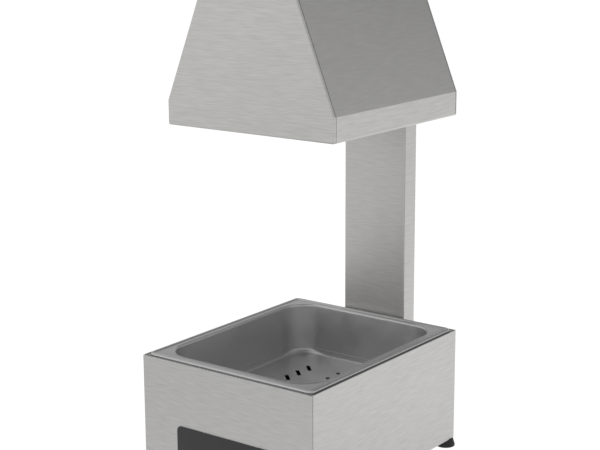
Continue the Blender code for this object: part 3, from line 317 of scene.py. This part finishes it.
def filleted(corners, steps=5):
    """A closed outline of (x, y, radius) corners with each corner rounded."""
    outline = []
    for index, (x, y, radius) in enumerate(corners):
        if not radius:
            outline.append((x, y))
            continue
        corner = Vector((x, y))
        back = (Vector(corners[index - 1][:2]) - corner).normalized()
        ahead = (Vector(corners[(index + 1) % len(corners)][:2]) - corner).normalized()
        half = back.angle(ahead) / 2
        centre = corner + (back + ahead).normalized() * (radius / math.sin(half))
        reach = radius / math.tan(half)
        first = corner + back * reach - centre
        last = corner + ahead * reach - centre
        start = math.atan2(first.y, first.x)
        swing = (math.atan2(last.y, last.x) - start + math.pi) % TURN - math.pi
        for step in range(steps + 1):
            angle = start + swing * step / steps
            outline.append((centre.x + radius * math.cos(angle), centre.y + radius * math.sin(angle)))
    return outline


def bend(centre, radius, start, end, steps):
    """Points along an arc, its angles in degrees."""
    points = []
    for step in range(steps + 1):
        angle = math.radians(start + (end - start) * step / steps)
        points.append((centre[0] + radius * math.cos(angle), centre[1] + radius * math.sin(angle)))
    return points


def level_ring(half_x, half_y, radius, height, steps=14, ease=1.2 * MM):
    """A rounded rectangle at one height, with a point just before and after each corner."""
    ring = []
    for side_x, side_y, start in ((1, 1, 0), (-1, 1, 90), (-1, -1, 180), (1, -1, 270)):
        x = side_x * (half_x - radius)
        y = side_y * (half_y - radius)
        arc = bend((x, y), radius, start, start + 90, steps)
        along = Vector((-math.sin(math.radians(start)), math.cos(math.radians(start))))
        before = Vector(arc[0]) - along * ease
        across = Vector((-along.y, along.x))
        after = Vector(arc[-1]) + across * ease
        ring += [(px, py, height) for px, py in (before, *arc, after)]
    return ring


def loft(bm, rings, cap_first=False, cap_last=False, place=Matrix.Identity(4)):
    """Faces between rings of as many points each."""
    rows = [[bm.verts.new(place @ Vector(point)) for point in ring] for ring in rings]
    for low, high in zip(rows, rows[1:]):
        for index in range(len(low)):
            after = (index + 1) % len(low)
            bm.faces.new((low[index], low[after], high[after], high[index]))
    if cap_first:
        bm.faces.new(reversed(rows[0]))
    if cap_last:
        bm.faces.new(rows[-1])


def lathe(bm, outline, place=Matrix.Identity(4), segments=64, reshape=None):
    """Turn a closed outline of (radius, height) points about the Z axis of place."""
    rows = []
    for step in range(segments):
        angle = TURN * step / segments
        row = []
        for radius, height in outline:
            wide = reshape(angle, radius, height) if reshape else radius
            row.append(bm.verts.new(place @ Vector((wide * math.cos(angle), wide * math.sin(angle), height))))
        rows.append(row)
    for step in range(segments):
        near, far = rows[step], rows[(step + 1) % segments]
        for index in range(len(outline)):
            after = (index + 1) % len(outline)
            if outline[index][0] or outline[after][0]:
                bm.faces.new((near[index], far[index], far[after], near[after]))
    bmesh.ops.remove_doubles(bm, verts=bm.verts, dist=0.000001)


def new_object(name, bm, tidy_normals=True):
    if tidy_normals:
        bmesh.ops.recalc_face_normals(bm, faces=bm.faces)
    mesh = bpy.data.meshes.new(name)
    bm.to_mesh(mesh)
    bm.free()
    obj = bpy.data.objects.new(name, mesh)
    bpy.context.scene.collection.objects.link(obj)
    return obj


def applied(obj):
    """Turn an object's modifiers into its mesh."""
    depsgraph = bpy.context.evaluated_depsgraph_get()
    mesh = bpy.data.meshes.new_from_object(obj.evaluated_get(depsgraph))
    obj.modifiers.clear()
    obj.data = mesh
    return obj


def carved(obj, cutter):
    """Cut one object out of another and drop the cutter."""
    change = obj.modifiers.new("cut", "BOOLEAN")
    change.operation = "DIFFERENCE"
    change.solver = "EXACT"
    change.object = cutter
    applied(obj)
    bpy.data.objects.remove(cutter, do_unlink=True)
    return obj


def pressed(name, bm, thickness):
    """A sheet from an open surface, its metal below and outside the faces drawn."""
    bmesh.ops.recalc_face_normals(bm, faces=bm.faces)
    floor = max(bm.faces, key=lambda face: face.calc_area())
    if floor.normal.z < 0:
        bmesh.ops.reverse_faces(bm, faces=bm.faces)
    obj = new_object(name, bm, tidy_normals=False)
    sheet = obj.modifiers.new("sheet", "SOLIDIFY")
    sheet.thickness = thickness
    sheet.offset = -1
    return applied(obj)


def finished(obj, slot, body=BODY, stands_for=(), looks=(), smooth=38):
    """Shade a piece, give it its finish, and hang it on its body."""
    dress(obj, *(looks or (FINISHES[slot],)))
    obj.data.shade_smooth()
    obj.data.set_sharp_from_angle(angle=math.radians(smooth))
    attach(obj, body)
    if stands_for:
        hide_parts(*stands_for)
    return obj


# ---- Pan and drain plate

OPENING_INSET = 14 * MM
OPENING_CORNER = 38 * MM
WALL_LEAN = math.tan(math.radians(4))
THROAT_END = -3.2 * MM
PAN_SHEET = 0.8 * MM
FLOOR_BEND = 12 * MM
RIM_DEEP = 3 * MM
GROOVE_SPAN = (5.0 * MM, 6.8 * MM)


def make_pan():
    low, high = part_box("pan")
    half_x, half_y = (high.x - low.x) / 2, (high.y - low.y) / 2
    centre = (low + high) / 2
    rim_corner = 8 * MM
    profile = [(inset, drop, rim_corner - inset)
               for inset, drop in bend((3 * MM, -3 * MM), 3 * MM, 180, 48, 12)]
    groove = ((5.25, -1.45), (5.50, -1.95), (5.85, -2.10), (6.20, -1.95), (6.45, -1.25), (6.75, -1.02),
              (7.3, -1.0))
    profile += [(x * MM, z * MM, rim_corner - x * MM) for x, z in groove]
    shoulder = ((9.2, -1.0), (10.0, -0.98), (10.6, -0.86), (11.1, -0.70), (11.6, -0.60), (12.1, -0.64),
                (12.6, -0.84), (13.05, -1.18), (13.45, -1.65), (13.78, -2.3), (14.0, -3.2))
    profile += [(x * MM, z * MM, OPENING_CORNER + OPENING_INSET - x * MM) for x, z in shoulder]

    def wall(drop):
        return OPENING_INSET - (drop - THROAT_END) * WALL_LEAN

    foot = low.z - high.z + PAN_SHEET + FLOOR_BEND
    for drop in (THROAT_END - 1.2 * MM, THROAT_END - 6 * MM, foot + 2 * MM):
        profile.append((wall(drop), drop, OPENING_CORNER + OPENING_INSET - wall(drop)))
    for reach, rise in bend((0, 0), FLOOR_BEND, 0, -90, 10):
        inset = wall(foot) + FLOOR_BEND - reach
        profile.append((inset, foot + rise, OPENING_CORNER + OPENING_INSET - inset))
    bm = bmesh.new()
    rings = [level_ring(half_x - inset, half_y - inset, max(corner, 0.4 * MM), drop)
             for inset, drop, corner in profile]
    loft(bm, rings, cap_last=True, place=Matrix.Translation((centre.x, centre.y, high.z)))
    pan = pressed("pan_pressing", bm, PAN_SHEET)
    rim = high.z - RIM_DEEP
    for face in pan.data.polygons:
        middle = face.center - centre
        inset = min(half_x - abs(middle.x), half_y - abs(middle.y))
        # Faces in the rim's groove take the painted groove shade.
        in_groove_shade = GROOVE_SPAN[0] < inset < GROOVE_SPAN[1] and face.center.z > rim
        face.material_index = 2 if in_groove_shade else int(face.center.z > rim)
    finished(pan, "satin_steel", "pan", ("pan",), (FINISHES["satin_steel"], POLISHED, GROOVE_PAINTED_SHADE), 50)


EDGE_HEIGHT = 8 * MM
EDGE_LEAN = 1.5 * MM
EDGE_CORNER = 31.7 * MM
FLOOR_CORNER = 60 * MM
PLATE_SHEET = 1 * MM
LEG_RADIUS = 5 * MM
LEG_INSET = 30 * MM
SLOT_SIZE = (22.5 * MM, 5.4 * MM)
SLOT_PITCH = (53 * MM, 24.9 * MM)
SLOT_SHIFT = -4.2 * MM
SLOT_COUNTS = (3, 8)
SQUARE = ((-1, -1), (1, -1), (1, 1), (-1, 1))


def make_drain_plate():
    low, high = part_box("drain_plate")
    centre = (low + high) / 2
    half_x, half_y = (high.x - low.x) / 2, (high.y - low.y) / 2
    level = high.z - EDGE_HEIGHT
    rings = []
    for reach, rise in bend((0, 1), 1, 0, -90, 18):
        corner = FLOOR_CORNER + (EDGE_CORNER - FLOOR_CORNER) * reach
        inset = EDGE_LEAN * (1 - reach)
        rings.append(level_ring(half_x - inset, half_y - inset, corner, rise * EDGE_HEIGHT))
    bm = bmesh.new()
    loft(bm, rings, cap_last=True, place=Matrix.Translation((centre.x, centre.y, level)))
    plate = pressed("drain_plate_pressing", bm, PLATE_SHEET)
    slots = bmesh.new()
    outline = filleted([(x * SLOT_SIZE[0] / 2, y * SLOT_SIZE[1] / 2, 0.5 * MM) for x, y in SQUARE], 3)
    for column in range(SLOT_COUNTS[0]):
        for row in range(SLOT_COUNTS[1]):
            x = (column - (SLOT_COUNTS[0] - 1) / 2) * SLOT_PITCH[0]
            y = (row - (SLOT_COUNTS[1] - 1) / 2) * SLOT_PITCH[1] + SLOT_SHIFT
            spot = Matrix.Translation((centre.x + x, centre.y + y, level))
            loft(slots, [[(px, py, height) for px, py in outline] for height in (-3 * MM, 3 * MM)],
                 True, True, spot @ Matrix.Rotation(-TURN / 8, 4, "Z"))
    carved(plate, new_object("slots", slots))
    finished(plate, "satin_steel", "drain_plate", ("drain_plate",),
             (FINISHES["satin_steel"], SLOT_WALL_SHADE), 50)
    # The slot walls take the painted slot shade.
    for face in plate.data.polygons:
        off = face.center - centre
        inside = abs(off.x) < half_x - 12 * MM and abs(off.y) < half_y - 12 * MM
        face.material_index = int(inside and abs(face.normal.z) < 0.3)
    legs = bmesh.new()
    top = level - PLATE_SHEET - low.z
    leg = filleted([(0, top, 0), (LEG_RADIUS, top, 0), (LEG_RADIUS, 0, 0.6 * MM), (0, 0, 0)])
    for x, y in SQUARE:
        spot = (centre.x + x * (half_x - LEG_INSET), centre.y + y * (half_y - LEG_INSET), low.z)
        lathe(legs, leg, Matrix.Translation(spot), 32)
    finished(new_object("drain_plate_feet", legs), "satin_steel", "drain_plate")


make_pan()
make_drain_plate()


# ---- Badge plate, feet and screws

def make_badge_plate():
    low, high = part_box("badge_plate")
    centre = (low + high) / 2
    half_x, half_z, deep = (high.x - low.x) / 2, (high.z - low.z) / 2, high.y - low.y
    edge = 0.35 * MM
    steps = [(0, 0)] + [(x, z + deep) for x, z in bend((edge, -edge), edge, 180, 90, 5)]
    rings = [level_ring(half_x - inset, half_z - inset, 6 * MM - inset, rise) for inset, rise in steps]
    bm = bmesh.new()
    place = Matrix.Translation((centre.x, high.y, centre.z)) @ Matrix.Rotation(TURN / 4, 4, "X")
    loft(bm, rings, True, True, place)
    finished(new_object("badge_plate_bare", bm), "badge_grey", stands_for=("badge_plate",))


def cross_screw(node, name, up):
    """A pan-head screw with a cross recess, its head towards +Z (up 1) or -Z (up -1)."""
    low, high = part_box(node)
    centre = (low + high) / 2
    head = 2.6 * MM
    seat = high.z - head if up > 0 else low.z + head
    length = high.z - low.z - head
    place = Matrix.Translation((centre.x, centre.y, seat)) @ Matrix.Rotation(TURN / 2 * (up < 0), 4, "X")
    outline = filleted([(0, -length, 0), (2 * MM, -length, 0.4 * MM), (2 * MM, 0, 0), (4 * MM, 0, 0),
                        (4 * MM, 1.1 * MM, 0.5 * MM), (2.9 * MM, 2.3 * MM, 0.6 * MM), (0.9 * MM, head, 0),
                        (0, head, 0)])
    bm = bmesh.new()
    lathe(bm, outline, place, 40)
    screw = new_object(name, bm)
    for size in ((3.9 * MM, 0.9 * MM), (0.9 * MM, 3.9 * MM)):
        recess = bmesh.new()
        loft(recess, [[(x * share * size[0] / 2, y * share * size[1] / 2, height) for x, y in SQUARE]
                      for share, height in ((0.6, 1.0 * MM), (1.0, 3.0 * MM))], True, True, place)
        carved(screw, new_object("recess", recess))
    finished(screw, "zinc_steel", stands_for=(node,))


def make_feet():
    for place in ("front_left", "front_right", "rear_left", "rear_right"):
        low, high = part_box("foot_" + place)
        centre = (low + high) / 2
        tall = high.z - low.z
        outline = filleted([(2.3 * MM, tall, 0), (10.8 * MM, tall, 0.5 * MM), (13.5 * MM, 1.6 * MM, 0.6 * MM),
                            (13.5 * MM, 0, 0.5 * MM), (5.5 * MM, 0, 0.4 * MM), (5.5 * MM, 5.5 * MM, 0),
                            (2.3 * MM, 5.5 * MM, 0)])
        bm = bmesh.new()
        lathe(bm, outline, Matrix.Translation((centre.x, centre.y, low.z)), 72)
        finished(new_object(f"foot_{place}_rubber", bm), "black_rubber", stands_for=("foot_" + place,))
        cross_screw("foot_screw_" + place, f"foot_screw_{place}_cross", -1)


make_badge_plate()
make_feet()
for side in ("left", "right"):
    cross_screw("lamp_bracket_screw_" + side, f"roof_screw_{side}_cross", 1)


# ---- Lamp and its holder

def smooth_line(points, rounds=3):
    """Round a line of points off by cutting its corners, its ends kept."""
    for _ in range(rounds):
        cut = [points[0]]
        for first, second in zip(points, points[1:]):
            a, b = Vector(first), Vector(second)
            cut += [tuple(a.lerp(b, 0.25)), tuple(a.lerp(b, 0.75))]
        points = cut + [points[-1]]
    return points


LAMP_SHARES = ((0.29, 1.00), (0.30, 0.95), (0.36, 0.87), (0.52, 0.73), (0.72, 0.57), (0.90, 0.40),
               (0.985, 0.28), (1.00, 0.21), (0.97, 0.13), (0.86, 0.060), (0.62, 0.022), (0.33, 0.006),
               (0.0, 0.0))


def make_lamp():
    low, high = LAMP_LOW, LAMP_HIGH
    centre = (low + high) / 2
    radius, tall = (high.x - low.x) / 2, high.z - low.z
    outer = smooth_line([(share * radius, rise * tall) for share, rise in LAMP_SHARES])
    wall = 1.2 * MM
    inner = [(0.0, wall)]
    for x, y in reversed(outer):
        if x > 4 * wall:
            inner.append((x - wall, y + wall if y < 0.1 * tall else y))
    bm = bmesh.new()
    lathe(bm, outer + inner, Matrix.Translation((centre.x, centre.y, low.z)), 96)
    finished(new_object("lamp_bulb", bm), "lamp_glass", stands_for=("lamp_glass",), smooth=60)


def make_holder():
    low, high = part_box("lampholder")
    centre = (low + high) / 2
    tall = high.z - low.z
    wide, bore = 22 * MM, 13.9 * MM
    outline = filleted([(5.3 * MM, tall, 0), (16 * MM, tall, 1.5 * MM), (wide, tall - 6 * MM, 1.5 * MM),
                        (wide, tall - 13 * MM, 0.5 * MM), (wide - 1.2 * MM, tall - 14.5 * MM, 0.5 * MM),
                        (wide - 1.2 * MM, tall - 18 * MM, 0.5 * MM), (wide, tall - 19.5 * MM, 0.5 * MM),
                        (wide, 4 * MM, 0.5 * MM), (wide - 1 * MM, 3 * MM, 0.5 * MM),
                        (wide - 1 * MM, 0, 1.0 * MM), (bore, 0, 1.0 * MM), (bore, 28 * MM, 0),
                        (5.3 * MM, 28 * MM, 0)])
    bm = bmesh.new()
    lathe(bm, outline, Matrix.Translation((centre.x, centre.y, low.z)), 80)
    finished(new_object("lampholder_glazed", bm), "ceramic", stands_for=("lampholder",))


make_lamp()
make_holder()


# ---- Switch and gland on the column's back

OUTWARD = Matrix(((-1, 0, 0, 0), (0, 0, 1, 0), (0, 1, 0, 0), (0, 0, 0, 1)))


def small_ring(half_x, half_y, radius, height):
    return level_ring(half_x, half_y, radius, height, 6, 0.4 * MM)


def make_switch():
    low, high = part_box("switch_body")
    seat = high.y - 2.0 * MM
    place = Matrix.Translation((0, seat, (low.z + high.z) / 2)) @ OUTWARD
    half_x, half_z = 12.5 * MM, 15.5 * MM
    core_x, core_z = 10.75 * MM, 13.6 * MM
    well_x, well_z = 8.8 * MM, 12.0 * MM
    rings = [small_ring(core_x, core_z, 0.8 * MM, low.y - seat), small_ring(core_x, core_z, 0.8 * MM, 0),
             small_ring(half_x, half_z, 2.0 * MM, 0)]
    for inset, rise in bend((0.9 * MM, 1.1 * MM), 0.9 * MM, 180, 90, 6):
        rings.append(small_ring(half_x - inset, half_z - inset, 2.0 * MM - inset, rise))
    for outset, rise in bend((0.5 * MM, 1.5 * MM), 0.5 * MM, 90, 180, 5):
        rings.append(small_ring(well_x + outset, well_z + outset, 0.8 * MM + outset, rise))
    rings.append(small_ring(well_x, well_z, 0.8 * MM, -6 * MM))
    bm = bmesh.new()
    loft(bm, rings, True, True, place)
    finished(new_object("switch_housing", bm), "black_plastic", stands_for=("switch_body",))


ROCKER_PIVOT = (0, 0.1757, 0.150)
ROCKER_WIDE = 16 * MM
ROCKER_HALF = 10.8 * MM
ROCKER_CROWN = 2 * MM
ROCKER_BACK = 3 * MM
ROCKER_SLOPE = math.tan(math.radians(8))
ROCKER_TILT = math.radians(8)


def make_rocker():
    """A key with a shallow V across its face, tilted to off, and its two marks."""
    place = Matrix.Translation(ROCKER_PIVOT) @ Matrix.Rotation(-ROCKER_TILT, 4, "X")
    end = ROCKER_CROWN + ROCKER_HALF * ROCKER_SLOPE
    face = []
    for step in range(17):
        along = ROCKER_HALF * (step / 8 - 1)
        lift = ROCKER_CROWN + math.hypot(along * ROCKER_SLOPE, 0.25 * MM)
        face.append((min(lift, end), along))
    outline = [(-ROCKER_BACK, -ROCKER_HALF), *face, (-ROCKER_BACK, ROCKER_HALF)]
    bm = bmesh.new()
    loft(bm, [[(side * ROCKER_WIDE / 2, y, z) for y, z in outline] for side in (-1, 1)], True, True, place)
    bmesh.ops.recalc_face_normals(bm, faces=bm.faces)
    sharp = [edge for edge in bm.edges if edge.calc_face_angle(0) > math.radians(50)]
    bmesh.ops.bevel(bm, geom=sharp, offset=0.5 * MM, segments=3, profile=0.5, affect="EDGES")
    finished(new_object("rocker_key", bm), "rocker_black", "switch_rocker", ("switch_rocker",))
    marks = bmesh.new()
    for along in (-6.0 * MM, 6.0 * MM):
        lift = ROCKER_CROWN + abs(along) * ROCKER_SLOPE
        lean = -math.copysign(math.atan(ROCKER_SLOPE), along)
        spot = place @ Matrix.Translation((0, lift, along)) @ Matrix.Rotation(lean, 4, "X") @ OUTWARD
        if along < 0:
            ring = filleted([(1.25 * MM, -0.05 * MM, 0), (1.75 * MM, -0.05 * MM, 0),
                             (1.75 * MM, 0.07 * MM, 0.05 * MM), (1.25 * MM, 0.07 * MM, 0.05 * MM)], 2)
            lathe(marks, ring, spot, 40)
        else:
            loft(marks, [level_ring(0.25 * MM, 1.75 * MM, 0.15 * MM, height, 3, 0.02 * MM)
                         for height in (-0.05 * MM, 0.07 * MM)], True, True, spot)
    finished(new_object("rocker_marks", marks), "rocker_black", "switch_rocker", looks=(MARK_WHITE,))


def make_gland():
    low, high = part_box("gland_dome_nut")
    centre = (low + high) / 2
    place = Matrix.Translation((0, low.y, centre.z)) @ OUTWARD
    wide, tall = (high.x - low.x) / 2, high.y - low.y
    bore = 4.2 * MM
    dome = [(wide - 0.4 * MM, 0, 0), (wide, 0.8 * MM, 0.2 * MM), (wide, 0.50 * tall, 0.8 * MM),
            (0.86 * wide, 0.68 * tall, 1.0 * MM), (0.62 * wide, tall, 0.8 * MM), (bore, tall, 0.4 * MM),
            (bore, 0.6 * tall, 0), (7.1 * MM, 0.6 * tall, 0), (7.1 * MM, 0, 0)]

    def ribbed(angle, radius, height):
        if radius < 0.84 * wide or height < 0.9 * MM:
            return radius
        return radius - 0.35 * MM * (1 - abs(math.cos(9 * angle)) ** 0.6)

    bm = bmesh.new()
    lathe(bm, filleted(dome, 5), place, 144, ribbed)
    finished(new_object("gland_cap", bm), "grey_plastic", stands_for=("gland_dome_nut",), smooth=30)

    low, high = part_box("gland_body")
    place = Matrix.Translation((0, high.y, centre.z)) @ OUTWARD
    wide = (high.x - low.x) / 2
    flange, spigot, spigot_r = 5 * MM, 6 * MM, 6.8 * MM
    end = low.y - high.y
    body = [(bore, 0), (spigot_r, 0), (spigot_r, -spigot), (wide * 0.93, -spigot),
            (wide, -spigot - 0.8 * MM), (wide, -spigot - flange + 0.4 * MM), (wide * 0.97, -spigot - flange),
            (8 * MM, -spigot - flange), (8 * MM, end), (bore, end)]

    def hexagonal(angle, radius, height):
        if radius < 8.5 * MM:
            return radius
        turn = (angle + TURN / 12) % (TURN / 6) - TURN / 12
        return min(radius, wide * math.cos(TURN / 12) / math.cos(turn))

    bm = bmesh.new()
    lathe(bm, body, place, 144, hexagonal)
    finished(new_object("gland_hexagon", bm), "grey_plastic", stands_for=("gland_body",), smooth=30)


make_switch()
make_rocker()
make_gland()


# ---- Floor, world, light and camera

def path_share(tree, *kinds):
    path = tree.nodes.new("ShaderNodeLightPath")
    value = path.outputs[kinds[0]]
    for kind in kinds[1:]:
        value = calculate(tree, "MAXIMUM", value, path.outputs[kind])
    return value


SKY_SINES = (-0.10, 0.08, 0.22, 0.46, 0.62, 1.0)
SKY_FAR = (0.88, 0.97, 0.49, 0.09, 0.22, 0.30)
SKY_NEAR = (0.93, 1.00, 0.97, 0.25, 0.77, 0.71)
FLOOR_PLACES = (-2.5, -0.6, 0.5, 2.5)
# Painted shadow: how bright the floor glows in reflections, darker towards the front left near the object.
FLOOR_SHADE_LEVELS = (0.83, 0.66, 1.0, 0.86)
FAR_SIDE = (0.6, 0.8, 0.0)
FLOOR_WHITE = 1.15
EVEN_SKY = 0.49
FLOOR_RADIUS = 40.0
FLOOR_DROP = 0.2 * MM
FLOOR_GREY = (0.80, 0.80, 0.80, 1)
FLOOR_ROUGH = 0.9
FLOOR_SEEN_SHARE = 0.86
SOFTBOX_SIZE = 1.6
AIM = Vector((0, 0, 0.3))
CAMERA_PLACE = (1.1344587, -1.5441098, 0.7674394)
CAMERA_TURN = (36.8307, 13.0258, -0.2384)
CAMERA_FOCAL_PX = 1476.892
PHOTO_WIDTH_PX = 600
SENSOR_WIDTH = 36.0
KEY_POWER = 3.2
FILL_POWER = 2
TOP_POWER = 6


def towards_far_side(tree, vector, low, high):
    """How far a direction or place lies towards the back right, from 0 to 1."""
    dot = add(tree, "ShaderNodeVectorMath", operation="DOT_PRODUCT")
    tree.links.new(vector, dot.inputs[0])
    dot.inputs[1].default_value = FAR_SIDE
    return remap(tree, dot.outputs["Value"], low, high, 0, 1)


def grey_ramp(tree, factor, places, levels):
    ramp = tree.nodes.new("ShaderNodeValToRGB")
    tree.links.new(factor, ramp.inputs["Fac"])
    elements = ramp.color_ramp.elements
    while len(elements) < len(levels):
        elements.new(0.5)
    for element, spot, grey in zip(elements, places, levels):
        element.position = (spot - places[0]) / (places[-1] - places[0])
        element.color = (grey, grey, grey, 1)
    return ramp.outputs["Color"]


def make_floor():
    bm = bmesh.new()
    bmesh.ops.create_circle(bm, cap_ends=True, segments=96, radius=FLOOR_RADIUS)
    floor = new_object("floor", bm, tidy_normals=False)
    floor.location = (0, 0, -FLOOR_DROP)
    material, tree, shader = new_material("pale_floor")
    shader.inputs["Base Color"].default_value = FLOOR_GREY
    shader.inputs["Roughness"].default_value = FLOOR_ROUGH
    shader.inputs["Specular IOR Level"].default_value = 0.0
    place = add(tree, "ShaderNodeTexCoord").outputs["Object"]
    seen = path_share(tree, "Is Camera Ray")
    mirrored = path_share(tree, "Is Glossy Ray", "Is Transmission Ray")
    glow = add(tree, "ShaderNodeEmission", Color=(1, 1, 1, 1))
    # Painted shadow: as seen by glossy and transmission rays, the floor glows darker towards the front left,
    # near the object.
    share = towards_far_side(tree, place, FLOOR_PLACES[0], FLOOR_PLACES[-1])
    level = grey_ramp(tree, share, FLOOR_PLACES, FLOOR_SHADE_LEVELS)
    tree.links.new(blended(tree, seen, level, FLOOR_WHITE), glow.inputs["Strength"])
    blend = tree.nodes.new("ShaderNodeMixShader")
    amount = calculate(tree, "MAXIMUM", calculate(tree, "MULTIPLY", seen, FLOOR_SEEN_SHARE), mirrored)
    tree.links.new(amount, blend.inputs[0])
    tree.links.new(shader.outputs[0], blend.inputs[1])
    tree.links.new(glow.outputs[0], blend.inputs[2])
    tree.links.new(blend.outputs[0], tree.nodes["Material Output"].inputs["Surface"])
    dress(floor, material)


def make_world():
    world = bpy.data.worlds.new("studio")
    bpy.context.scene.world = world
    world.use_nodes = True
    tree = world.node_tree
    background = tree.nodes["Background"]
    direction = tree.nodes.new("ShaderNodeTexCoord").outputs["Generated"]
    axes = tree.nodes.new("ShaderNodeSeparateXYZ")
    tree.links.new(direction, axes.inputs[0])
    height = remap(tree, axes.outputs["Z"], SKY_SINES[0], SKY_SINES[-1], 0, 1)
    studio = blended(tree, towards_far_side(tree, direction, -1, 1),
                     grey_ramp(tree, height, SKY_SINES, SKY_NEAR),
                     grey_ramp(tree, height, SKY_SINES, SKY_FAR))
    mirrored = path_share(tree, "Is Glossy Ray", "Is Transmission Ray")
    lit = blended(tree, mirrored, EVEN_SKY, studio)
    tree.links.new(blended(tree, path_share(tree, "Is Camera Ray"), lit, 1.0), background.inputs["Color"])


def softbox(name, place, power):
    light = bpy.data.lights.new(name, "AREA")
    light.shape = "RECTANGLE"
    light.size, light.size_y = SOFTBOX_SIZE, SOFTBOX_SIZE
    light.energy = power
    lamp = bpy.data.objects.new(name, light)
    lamp.location = place
    aim = AIM - Vector(place)
    lamp.rotation_euler = aim.to_track_quat("-Z", "Y").to_euler()
    bpy.context.scene.collection.objects.link(lamp)


def make_camera():
    yaw, pitch, roll = (math.radians(angle) for angle in CAMERA_TURN)
    back = Vector((math.sin(yaw) * math.cos(pitch), -math.cos(yaw) * math.cos(pitch), math.sin(pitch)))
    right = Vector((math.cos(yaw), math.sin(yaw), 0))
    up = back.cross(right)
    across = right * math.cos(roll) + up * math.sin(roll)
    upward = up * math.cos(roll) - right * math.sin(roll)
    data = bpy.data.cameras.new("camera")
    data.sensor_fit = "HORIZONTAL"
    data.sensor_width = SENSOR_WIDTH
    data.lens = SENSOR_WIDTH * CAMERA_FOCAL_PX / PHOTO_WIDTH_PX
    data.clip_end = 100
    camera = bpy.data.objects.new("camera", data)
    turn = Matrix((across, upward, back)).transposed().to_4x4()
    camera.matrix_world = Matrix.Translation(CAMERA_PLACE) @ turn
    bpy.context.scene.collection.objects.link(camera)
    bpy.context.scene.camera = camera


make_floor()
make_world()
softbox("key_right", (2.6, 0.9, 1.5), KEY_POWER)
softbox("fill_left", (-2.2, -2.0, 1.6), FILL_POWER)
softbox("top", (0, 0.2, 2.8), TOP_POWER)
make_camera()
bpy.context.scene.view_settings.view_transform = "Standard"
